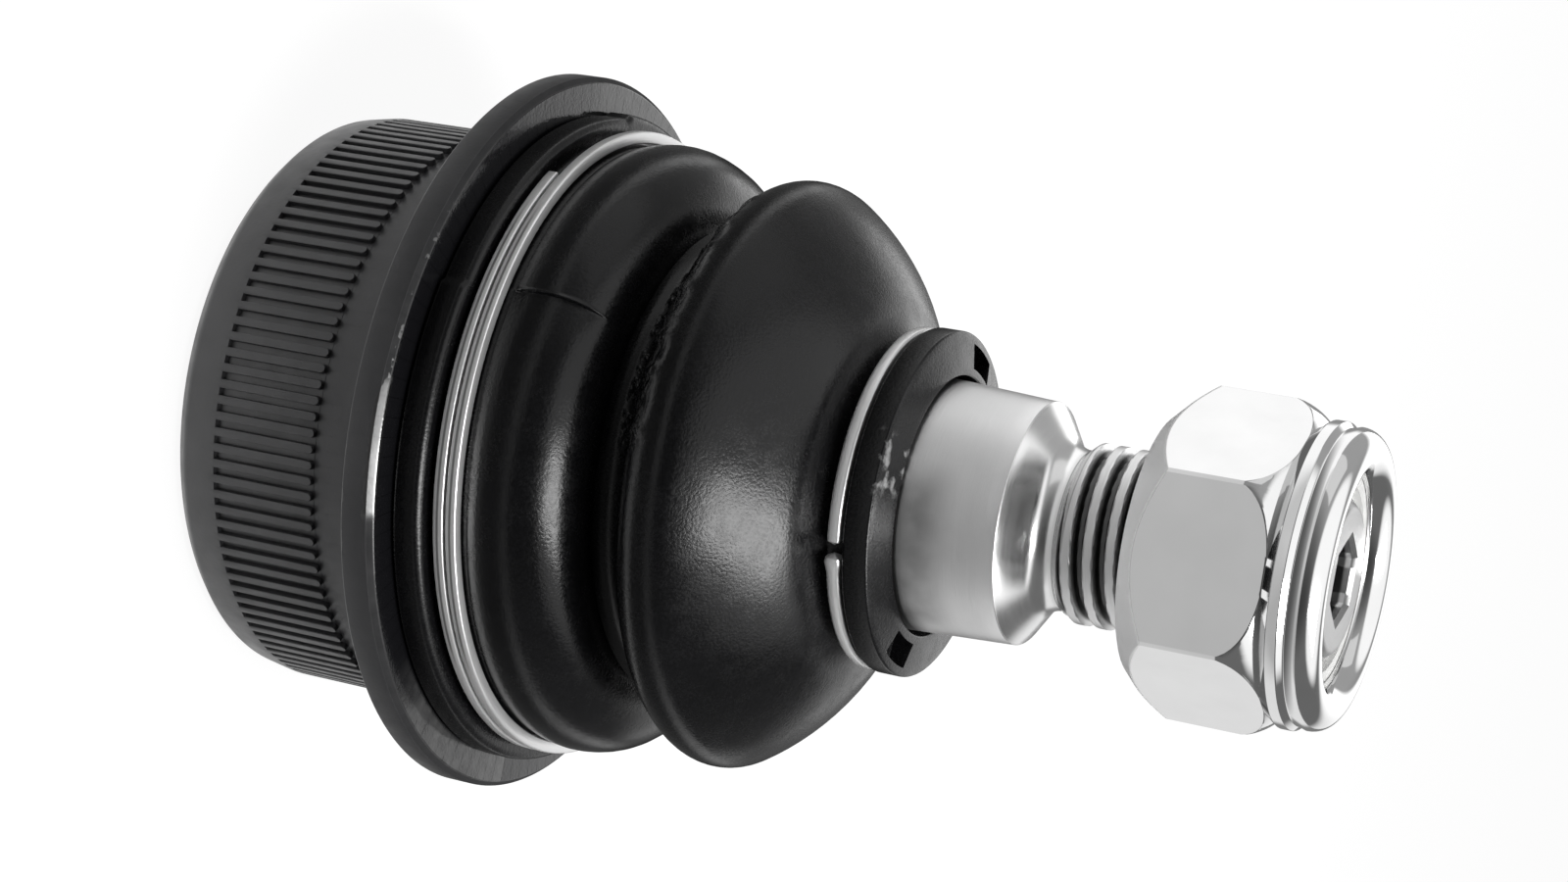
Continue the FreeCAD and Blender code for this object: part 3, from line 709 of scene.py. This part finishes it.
def boot_marks(radius, height, angle):
    """Move the boot's points for the marks of its mould and of its use.

    Each mark is a depth times a product of windows: one in angle, one along the outline.
    Crinkles are a sum of sines of the angle with prime frequencies, so none repeats.
    """
    line_angle = angle_from(angle, MOULD_LINE)
    line = LINE_RAISED * np.exp(-(line_angle / 0.35) ** 2)
    fading = np.exp(-np.clip(line_angle, 0, 60) / 8) * window(line_angle, 0.3, 60, 0.3)
    radius = radius + region(height, radius, *FIRST_FOLD) * (line - DENT_DEPTH * fading)
    step = region(height, radius, *BEAD) * window(angle_from(angle, BEAD_STEP), -60, 0, 1.0)
    radius = radius - STEP_DEPTH * step
    crinkle = np.sin(37 * angle) + 0.7 * np.sin(61 * angle + 1.3) + 0.5 * np.sin(97 * angle + 4.0)
    side = window(angle_from(angle, CRINKLED_SIDE), -28, 28, 8)
    radius = radius + CRINKLE_DEPTH * crinkle * region(height, radius, *VALLEY_RIM) * side
    on_face = region(height, radius, *NOTCHED_FACE)
    for direction in NOTCHES:
        inside = window(angle_from(angle, direction), -NOTCH_REACH, NOTCH_REACH, 0.6)
        height = height + (NOTCH_FLOOR - height) * on_face * inside
    sway = 0.05 * np.sin(3 * angle + 0.4) + 0.03 * np.sin(7 * angle + 2.1)
    return radius + sway * window(height, *SWAYING), height


# %% Bellows, with closer columns at the mould line
closer = np.radians(MOULD_LINE + np.arange(-1.35, 1.6, 0.2))
boot_angle = np.sort(np.concatenate([turn_of(360), closer]))[None, :]
boot_radius, boot_height = boot_marks(boot_outline[:, :1], boot_outline[:, 1:], boot_angle)
boot_piece = grid_piece("dust_boot_bellows", around(boot_radius, boot_height, boot_angle), rubber)
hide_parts("dust_boot")
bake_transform(boot_piece)

# %% [markdown]
# ## Wire rings
#
# The large clamp is flat spring wire wound one and three quarter times, and the small one
# is a single turn whose ends almost meet. Both are a section carried along a helix: rows
# are places along the wire and columns go round its section, which draws in at both ends.

# %% Bright wire
CLAMP_LOW = 5.36
CLAMP_PITCH = 0.93
CLAMP_START = 217.0
# Place, arc and tone of a painted dark streak on the clamp wire, a painted reflection of a dark
# card.
PAINTED_STREAK_ACROSS = (0.29, 0.4, 0.05)
PAINTED_STREAK_ARC = (236.0, 310.0, 10.0)
PAINTED_STREAK_TONE = grey(0.3)
WIRE_TONES = (grey(0.8), grey(0.98))
FLAT_WIRE = 18.0


def spring_wire():
    """Bright drawn wire with fine marks along its length.

    The flat clamp wire also has a painted dark streak along the middle of its face, a painted
    reflection of a dark card. The place across a winding is the height less the pitch times
    the turns done, within one pitch.
    """
    material, tree = new_material("spring_wire", Metallic=0.75)
    place = use(tree, place_group)
    marks = turning_marks(tree, 14.0, 0.15)
    turned = math(tree, "MODULO", plus(tree, place["Angle"], 360.0 - CLAMP_START), 360.0)
    climbed = times(tree, turned, CLAMP_PITCH / 360.0)
    height = math(tree, "SUBTRACT", plus(tree, place["Height"], CLAMP_PITCH - CLAMP_LOW), climbed)
    across = math(tree, "MODULO", height, CLAMP_PITCH)
    # Painted reflection: a dark streak along the middle of the flat wire's face.
    line = times(tree, within(tree, across, *PAINTED_STREAK_ACROSS), within(tree, place["Angle"], *PAINTED_STREAK_ARC),
                 math(tree, "GREATER_THAN", place["Radius"], FLAT_WIRE))
    colour = layered(tree, mix_colour(tree, marks, *WIRE_TONES), (line, PAINTED_STREAK_TONE))
    rough = plus(tree, 0.26, times(tree, marks, 0.16))
    return finished(material, Base_Color=colour, Roughness=rough, Normal=bump(tree, marks, 0.01))


wire_finish = spring_wire()


# %% Wire along a helix
ROWS_PER_TURN = 240
SECTION_POINTS = 24
TIP_LENGTH = 0.45


def wound_wire(name, middle, low, pitch, start, turns, width, thickness, rounding, bulb=0.0):
    """Flat wire on a helix: height is low plus pitch times turns done.

    The section is a rounded rectangle: a circle of the rounding's radius pushed out to
    each corner. At both ends the section shrinks as the root of the way in, which gives a
    rounded tip; bulb swells the first tip as a burr from cutting would.
    """
    length = turns * 2 * np.pi * middle
    done = np.linspace(0, 1, int(turns * ROWS_PER_TURN))
    round_way = turn_of(SECTION_POINTS) + np.pi / SECTION_POINTS
    side = np.sign(np.cos(round_way)) * (thickness / 2 - rounding) + rounding * np.cos(round_way)
    rise = np.sign(np.sin(round_way)) * (width / 2 - rounding) + rounding * np.sin(round_way)
    way_in = np.minimum(done, 1 - done) * length / TIP_LENGTH
    scale = np.sqrt(np.clip(1 - np.clip(1 - way_in, 0, 1) ** 2, 0.0004, 1))
    scale = scale * (1 + bulb * np.exp(-((done * length - 0.5) / 0.5) ** 2))
    angle = np.radians(start) + done * turns * 2 * np.pi
    radius = middle + scale[:, None] * side[None, :]
    height = low + width / 2 + pitch * turns * done[:, None] + scale[:, None] * rise[None, :]
    points = around(radius, height, angle[:, None])
    piece = grid_piece(name, points, wire_finish, closed=False)
    return piece


# %% Clamp wire and neck wire
clamp_piece = wound_wire(
    "clamp_wire", middle=21.42, low=CLAMP_LOW, pitch=CLAMP_PITCH, start=CLAMP_START, turns=1.75,
    width=0.74, thickness=0.84, rounding=0.13)
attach(clamp_piece, "housing")
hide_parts("boot_clamp_ring")
neck_wire_piece = wound_wire(
    "neck_wire", middle=11.15, low=28.5, pitch=0.0, start=291.4, turns=357.4 / 360,
    width=0.9, thickness=0.9, rounding=0.25, bulb=0.3)
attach(neck_wire_piece, "boot_neck")
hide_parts("boot_neck_ring")

# %% [markdown]
# ## Ground and rolled steel of the stud
#
# The taper is ground and the cone after it is polished, while the thread's roots are
# darkened as painted shade, the end face is dull from the saw, and a painted dark reflection
# of the boot darkens the taper next to it. All of it is one forging, so one material changes
# with radius, height and angle instead of the mesh being cut into regions.

# %% Stud steel
POLISHED = (38.7, 41.9, 0.1)
THREADED = (42.0, 58.4, 0.2)
ROOT = (0.0, 5.45, 0.25)
END_FACE = (58.9, 62.0, 0.1)
BOOT_REFLECTION_PATCH = ((30.0, 33.2, 2.8), (266.0, 328.0, 18.0))
GROUND_TONES = (grey(0.86), grey(0.95))
CLOUDED, PAINTED_BOOT_REFLECTION, SAWN_END, PAINTED_ROOT_SHADE = grey(0.7), grey(0.14), grey(0.42), grey(0.12)


def stud_steel():
    """Bright steel, ground on the taper, polished on the cone, painted shade in the thread."""
    material, tree = new_material("stud_steel", Metallic=1.0)
    place = use(tree, place_group)
    fine = turning_marks(tree, 22.0, 0.05)
    polished = within(tree, place["Height"], *POLISHED)
    in_root = within(tree, place["Radius"], *ROOT)
    # Painted shade: the thread's roots are coloured darker.
    shaded_roots = times(tree, within(tree, place["Height"], *THREADED), in_root)
    cloud = times(tree, mottled(tree, 220.0, 5.0), 0.2)
    # Painted reflection: the boot's dark reflection laid on the taper beside it, on the side facing
    # the camera.
    boot_reflection = times(tree, patch(tree, place, *BOOT_REFLECTION_PATCH), mottled(tree, 260.0, 3.0, Low=0.45), 0.75)
    end_face = within(tree, place["Height"], *END_FACE)
    colour = layered(tree, mix_colour(tree, fine, *GROUND_TONES), (cloud, CLOUDED),
                     (boot_reflection, PAINTED_BOOT_REFLECTION), (end_face, SAWN_END), (shaded_roots, PAINTED_ROOT_SHADE))
    rough = plus(tree, 0.24, times(tree, fine, 0.2), times(tree, polished, -0.14))
    relief = times(tree, fine, plus(tree, 1.0, times(tree, polished, -0.85)))
    return finished(material, Base_Color=colour, Roughness=rough, Normal=bump(tree, relief, 0.006))


steel = stud_steel()

# %% [markdown]
# ## The ball stud
#
# Ball, neck, shank, taper, cone, undercut, thread and socket are one outline. The thread is
# the one feature that isn't turned: its crest is a helix, so the radius there depends on
# height less pitch times the turns done. The hexagon socket is the same idea across
# the end face: the radius of its wall depends on the angle.

# %% Stud outline
PITCH = 1.5
THREAD_CREST = 5.98
THREAD_END = 57.9
STUD_TOP = 59.2
BALL = 11.5
BALL_FLAT = 4.5
NECK = 5.9
SHANK = 8.66
UNDERCUT = 5.35

ball_start = -np.sqrt(BALL ** 2 - BALL_FLAT ** 2)
ball_end = np.sqrt(BALL ** 2 - NECK ** 2)
below_thread = rounded_outline([
    (0.0, ball_start), (BALL_FLAT, ball_start),
    *bulge((BALL_FLAT, ball_start), (NECK, ball_end), BALL, 40), (NECK, ball_end),
    (NECK, 12.4, 1.5), (SHANK, 17.4, 1.0), (SHANK, 28.0), (8.13, 38.6, 0.06), (6.1, 39.95),
    *bulge((6.1, 39.95), (UNDERCUT, 41.3), -1.64), (UNDERCUT, 41.3), (UNDERCUT, 41.5)])
below_thread = filled(below_thread[1:], 1.2, closed=False)
thread_heights = np.arange(41.56, THREAD_END, PITCH / 24)
end_face = np.array([
    (THREAD_CREST, THREAD_END), (4.72, 59.12), (4.6, 59.19), (4.4, STUD_TOP), (3.3, STUD_TOP)])
print("rows of the stud:", len(below_thread), len(thread_heights), len(end_face))


# %% Thread and socket
THREAD_DEPTH = 0.8
THREAD_SHIFT = 0.6
THREAD_LOW = 42.3
THREAD_HIGH = 58.3
ROOT_SHARE = 0.2
FLANK_SHARE = 0.42
KEY_FLATS = 5.0


def thread_cut(height, angle):
    """Depth of the thread at a height and an angle.

    The place within one pitch is the height over the pitch less the angle over a full
    turn. The root lies around its middle, the flanks rise from there as a smooth step,
    and the rest is crest. The thread runs out at its two ends.
    """
    place_in_pitch = (height / PITCH - angle / (2 * np.pi) - THREAD_SHIFT) % 1
    from_root = np.abs(place_in_pitch - 0.5) * 2
    cut = np.clip((ROOT_SHARE + FLANK_SHARE - from_root) / FLANK_SHARE, 0, 1)
    cut = cut * cut * (3 - 2 * cut)
    return THREAD_DEPTH * cut * window(height, THREAD_LOW, THREAD_HIGH, 1.0)


def hexagon(angle, flats):
    """Distance from the axis to a hexagon: half the flats over the cosine from its middle."""
    from_middle = angle % (np.pi / 3) - np.pi / 6
    return flats / 2 / np.cos(from_middle)


# %% Stud mesh
stud_angle = turn_of(144)[None, :]
start_radius = np.interp(thread_heights, [41.6, THREAD_LOW], [UNDERCUT, THREAD_CREST])
cut_radius = THREAD_CREST - thread_cut(thread_heights[:, None], stud_angle)
thread_radius = np.minimum(start_radius[:, None], cut_radius)
thread_part = around(thread_radius, thread_heights[:, None], stud_angle)
socket = hexagon(stud_angle, KEY_FLATS)
socket_rows = [(socket + 0.25, STUD_TOP), (socket, STUD_TOP - 0.3), (socket, STUD_TOP - 5.6),
               (socket * 0.6, STUD_TOP - 6.2), (socket * 0.05, STUD_TOP - 6.6)]
stud_points = np.concatenate([
    around(below_thread[:, :1], below_thread[:, 1:], stud_angle), thread_part,
    around(end_face[:, :1], end_face[:, 1:], stud_angle),
    *[around(radius, height, stud_angle) for radius, height in socket_rows]])
stud_piece = grid_piece("ball_stud_forging", stud_points, steel, closed=False)
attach(stud_piece, "stud")
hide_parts("ball_stud")

# %% [markdown]
# ## Bright plating and the lock nut
#
# The nut is plated and almost a mirror, with a slight orange peel. Its outline changes with
# the angle: a flat is the hexagon's distance from the axis, and the turned bevels cut the
# corners back. Each row of the grid is placed where hexagon and bevel meet, so the arched
# edges of the flats come out crisp without any boolean.

# %% Plating
NUT_FACE = 47.0
FACE_RADIUS = 8.6
TURNED_BEVEL = (FACE_RADIUS - 0.1, FACE_RADIUS + 0.1, 0.05)


def bright_plating():
    """Plated steel, nearly a mirror, with faint waves.

    The bevel keeps its turning marks. It is where radius less height above the nut's
    face equals the radius of that face.
    """
    material, tree = new_material("bright_plating", Metallic=1.0)
    place = use(tree, place_group)
    cloud = mottled(tree, 260.0, 3.0)
    above_face = math(tree, "SUBTRACT", place["Height"], NUT_FACE)
    slope = math(tree, "SUBTRACT", place["Radius"], above_face)
    bevel = within(tree, slope, *TURNED_BEVEL)
    colour = mix_colour(tree, cloud, grey(0.8), grey(0.85))
    metal = plus(tree, 1.0, times(tree, bevel, -0.8))
    rough = plus(tree, 0.05, times(tree, cloud, 0.05), times(tree, bevel, 0.35))
    waves = bump(tree, mottled(tree, 140.0, 1.0), 0.012)
    return finished(material, Base_Color=colour, Metallic=metal, Roughness=rough, Normal=waves)


plating = bright_plating()

# %% Nut columns
NUT_FLATS = 19.0
NUT_TURN = 3.5
CORNER_RADIUS = 10.885

from_corner = np.concatenate([[0, 0.4, 0.78, 0.98], np.linspace(2.2, 30, 18)])
sector = np.concatenate([from_corner, 60 - from_corner[-2:0:-1]])
nut_turns = np.radians((np.arange(0, 360, 60)[:, None] + sector).reshape(1, -1))
flank = np.minimum(hexagon(nut_turns, NUT_FLATS), CORNER_RADIUS)
nut_angle = nut_turns + np.radians(NUT_TURN)
print("columns of the nut:", nut_angle.size)

# %% Dome and rolled collar of the nut
NUT_BORE = 6.05
NUT_EDGE = 0.07
HEX_TOP = 9.5
CROWN_CENTRE = (7.37, 6.636)
CROWN_ROUND = 3.6
CROWN_INNER = 9.55
ROLL_ROUND = 1.45
NUT_SHARP = np.radians(24)


def crown(radius):
    """Height of the domed end: a circle arc, and flat inside the band's foot."""
    reach = np.clip(np.maximum(radius, CROWN_INNER) - CROWN_CENTRE[0], 0, CROWN_ROUND)
    return CROWN_CENTRE[1] + np.sqrt(CROWN_ROUND ** 2 - reach ** 2)


bevel_top, dome_foot = flank - FACE_RADIUS, crown(flank)
dome = [flank + (CROWN_INNER - flank) * share for share in (0.06, 0.2, 0.4, 0.6, 0.8, 0.95, 1.0)]
roll_out, roll_top, roll_in = (9.75, 11.75), (8.3, 13.2), (6.85, 11.75)
rolled_collar = rounded_outline([
    (CROWN_INNER, HEX_TOP), (9.95, 10.1, 0.1), (9.95, 10.8, 0.12), (9.55, 11.15, 0.12),
    roll_out, *bulge(roll_out, roll_top, ROLL_ROUND, 10),
    roll_top, *bulge(roll_top, roll_in, ROLL_ROUND, 10),
    roll_in, (7.9, 11.7), (7.9, HEX_TOP), (NUT_BORE, HEX_TOP)])
print("rows of the dome and the collar:", len(dome), len(rolled_collar))

# %% Nut mesh
nut_rows = [
    (NUT_BORE, 0.8), (6.85, 0.05), (6.95, 0.0), (FACE_RADIUS - NUT_EDGE, 0.0),
    *[(FACE_RADIUS + bevel_top * share, bevel_top * share) for share in (0.04, 0.5, 0.94)],
    (flank - NUT_EDGE * 0.3, bevel_top - NUT_EDGE * 0.1), (flank, bevel_top + NUT_EDGE),
    (flank, bevel_top + NUT_EDGE * 2.5), (flank, (bevel_top + dome_foot) / 2),
    (flank, dome_foot - NUT_EDGE * 2.5), (flank, dome_foot - NUT_EDGE),
    (flank - NUT_EDGE * 0.4, dome_foot - NUT_EDGE * 0.1),
    *[(radius, crown(radius)) for radius in dome], *rolled_collar[1:]]
nut_points = np.stack([
    around(radius, height + NUT_FACE, nut_angle)[0] for radius, height in nut_rows])
nut_piece = grid_piece("hexagon_lock_nut", nut_points, plating, sharp=NUT_SHARP)
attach(nut_piece, "nut")
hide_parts("lock_nut")

# %% [markdown]
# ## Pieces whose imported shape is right
#
# The cover plate, the preload washer, both bearing seats and the nut's insert are plain
# turned pieces, mostly out of sight. They could be rebuilt, but nothing would look better,
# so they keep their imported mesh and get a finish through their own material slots.

# %% Plastics and spring steel
def moulded_plastic(name, low, high):
    """Natural engineering plastic, faintly mottled."""
    material, tree = new_material(name, Specular_IOR_Level=0.5)
    cloud = mottled(tree, 300.0)
    colour = mix_colour(tree, cloud, low, high)
    rough = plus(tree, 0.34, times(tree, cloud, 0.12))
    return finished(material, Base_Color=colour, Roughness=rough, Normal=bump(tree, cloud, 0.006))


def dull_spring_steel():
    """Rolled spring steel with fine marks."""
    material, tree = new_material("dull_spring_steel", Metallic=1.0)
    marks = turning_marks(tree, 10.0, 0.08)
    colour = mix_colour(tree, marks, grey(0.3), grey(0.5))
    rough = plus(tree, 0.3, times(tree, marks, 0.2))
    return finished(material, Base_Color=colour, Roughness=rough, Normal=bump(tree, marks, 0.006))


# %% Finish of the kept pieces
acetal = moulded_plastic("natural_acetal", (0.72, 0.71, 0.64, 1), (0.82, 0.81, 0.74, 1))
nylon = moulded_plastic("natural_nylon", (0.58, 0.58, 0.57, 1), (0.66, 0.66, 0.65, 1))
kept_finish = {
    "cover_plate": coated, "preload_washer": dull_spring_steel(), "lower_seat": acetal,
    "upper_seat": acetal, "nut_insert": nylon}
for name, finish in kept_finish.items():
    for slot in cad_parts[name].material_slots:
        slot.material = finish
print("kept nodes and their slots:", {
    name: len(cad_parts[name].material_slots) for name in kept_finish})

# %% [markdown]
# ## Floor, world and lights
#
# A bright part on white needs something to reflect. Metal in an evenly white room would be
# one flat white shape. The floor and the world are plain white to the camera, but to
# reflections they are a studio. The floor mirrors as a dark card around the part, with a
# white patch right below it and a dark strip behind it, and gets greyer towards the camera,
# so that flats and bands that face the camera turn grey and edges stay readable. The world
# is dim, with a bright wall behind and a bright ceiling that only reflections see, so they
# draw highlights on metal without washing out the black rubber.

# %% Floor as reflections see it
TOWARDS_BACK = (-0.2, 0.02, 0.56, 1.0)
TOWARDS_RIGHT = (-0.12, 0.15, 1.15, 0.84)
CARD = (0.1, 0.23, 0.13, 1.0)
BELOW_PART = (0.035, 0.05, 1.1, 0.0)
STRIP_SIDES = (-1.0, 0.55, 0.3)
STRIP_DEPTH = (0.08, 4.0, 0.03)
STRIP_DARK = 0.75


def mirrored_floor(tree):
    """Strength of the floor in reflections: a card, dark near the part and white farther out.

    It is a product: a ramp along Y, a ramp along X, the card's ramp with the distance from
    the axis, and one less the dark strip behind the part. The strip is where the size of
    X over Y is small.
    """
    coords = add(tree, "ShaderNodeTexCoord").outputs["Object"]
    x, y, _ = add(tree, "ShaderNodeSeparateXYZ", {0: coords}).outputs
    along_y = ramp(tree, y, *TOWARDS_BACK)
    along_x = ramp(tree, x, *TOWARDS_RIGHT, interpolation="LINEAR")
    reach = length_of(tree, x, y)
    card = largest(tree, ramp(tree, reach, *CARD), ramp(tree, reach, *BELOW_PART))
    aside = math(tree, "DIVIDE", math(tree, "ABSOLUTE", x), largest(tree, y, 0.01))
    strip = times(tree, within(tree, aside, *STRIP_SIDES), within(tree, y, *STRIP_DEPTH))
    beside_strip = plus(tree, 1.0, times(tree, strip, -STRIP_DARK))
    return times(tree, along_y, along_x, card, beside_strip)


# %% Floor material
FLOOR_GLOW = 1.12
GLOW_SHARE = 0.82


def emission(tree, strength):
    """White light of a given strength."""
    return add(tree, "ShaderNodeEmission", {"Color": grey(1.0), "Strength": strength}).outputs[0]


def mix_shader(tree, factor, first, second):
    """First shader where factor is 0, second where it is 1."""
    return add(tree, "ShaderNodeMixShader", {0: factor, 1: first, 2: second}).outputs[0]


def stage_floor():
    """Floor that is white to the camera, a card to reflections and pale under the lamps."""
    material = bpy.data.materials.new("white_floor")
    material.use_nodes = True
    tree = material.node_tree
    tree.nodes.clear()
    rays = add(tree, "ShaderNodeLightPath").outputs
    lit = add(tree, "ShaderNodeBsdfDiffuse", {"Color": grey(0.85)}).outputs[0]
    for_camera = mix_shader(tree, GLOW_SHARE, lit, emission(tree, FLOOR_GLOW))
    body = mix_shader(tree, rays["Is Camera Ray"], lit, for_camera)
    reflected = largest(tree, rays["Is Glossy Ray"], rays["Is Transmission Ray"])
    final = mix_shader(tree, reflected, body, emission(tree, mirrored_floor(tree)))
    add(tree, "ShaderNodeOutputMaterial", {"Surface": final})
    print("white floor:", len(tree.nodes), "nodes")
    return material


# %% Floor
FLOOR_REACH = 3.0
corners = [(x * FLOOR_REACH, y * FLOOR_REACH, cad_low.z)
           for x, y in ((-1, -1), (1, -1), (1, 1), (-1, 1))]
floor_mesh = bpy.data.meshes.new("floor")
floor_mesh.from_pydata(corners, [], [(0, 1, 2, 3)])
floor = bpy.data.objects.new("floor", floor_mesh)
scene.collection.objects.link(floor)
floor_mesh.materials.append(stage_floor())

# %% World
# Diffuse light comes from a dim sky, weaker from +X and from the front. Reflections also see
# a wall behind, at high Y, and a ceiling, at high Z. The camera sees plain white.
SKY_SIDES = (0.5, -0.6, 0.15, 0.38)
SKY_FRONT = (-1.0, -0.3, 0.3, 1.0)
WALL_BEHIND = (0.76, 0.93, 0.0, 5.4)
CEILING = (0.62, 0.78, 0.0, 1.1)

world = bpy.data.worlds.new("studio")
scene.world = world
world.use_nodes = True
tree = world.node_tree
tree.nodes.clear()
direction = add(tree, "ShaderNodeTexCoord").outputs["Generated"]
x, y, z = add(tree, "ShaderNodeSeparateXYZ", {0: direction}).outputs
rays = add(tree, "ShaderNodeLightPath").outputs
sky = times(tree, ramp(tree, x, *SKY_SIDES), ramp(tree, y, *SKY_FRONT))
wall = times(tree, sky, ramp(tree, y, *WALL_BEHIND))
mirrored = times(tree, largest(tree, ramp(tree, z, *CEILING), wall), rays["Is Glossy Ray"])
strength = add(tree, "ShaderNodeMix", {
    0: rays["Is Camera Ray"], 2: largest(tree, sky, mirrored), 3: 1.0}, data_type="FLOAT")
background = add(tree, "ShaderNodeBackground", {
    "Color": grey(1.0), "Strength": strength.outputs[0]}).outputs[0]
add(tree, "ShaderNodeOutputWorld", {"Surface": background})
print("world:", len(tree.nodes), "nodes")

# %% Softboxes
LAMP_TARGET = Vector((0.0, 0.0, 0.015))


def softbox(name, direction, distance, wide, tall, radiance):
    """Rectangular area light, tall along Y; its power is radiance times pi times its area."""
    data = bpy.data.lights.new(name, "AREA")
    data.shape = "RECTANGLE"
    data.size = wide
    data.size_y = tall
    data.energy = radiance * np.pi * wide * tall
    light = bpy.data.objects.new(name, data)
    away = Vector(direction).normalized()
    side = Vector((0.0, 1.0, 0.0)).cross(away).normalized()
    turned = Matrix((side, away.cross(side), away)).transposed().to_4x4()
    light.matrix_world = Matrix.Translation(LAMP_TARGET + away * distance) @ turned
    scene.collection.objects.link(light)
    print(name, "watts:", round(data.energy, 3))


softbox("softbox_above", (0.27, -0.17, 0.93), 0.4, 0.14, 0.34, 12.0)
softbox("softbox_top_side", (-0.9, -0.1, 0.35), 0.5, 0.35, 0.35, 0.35)
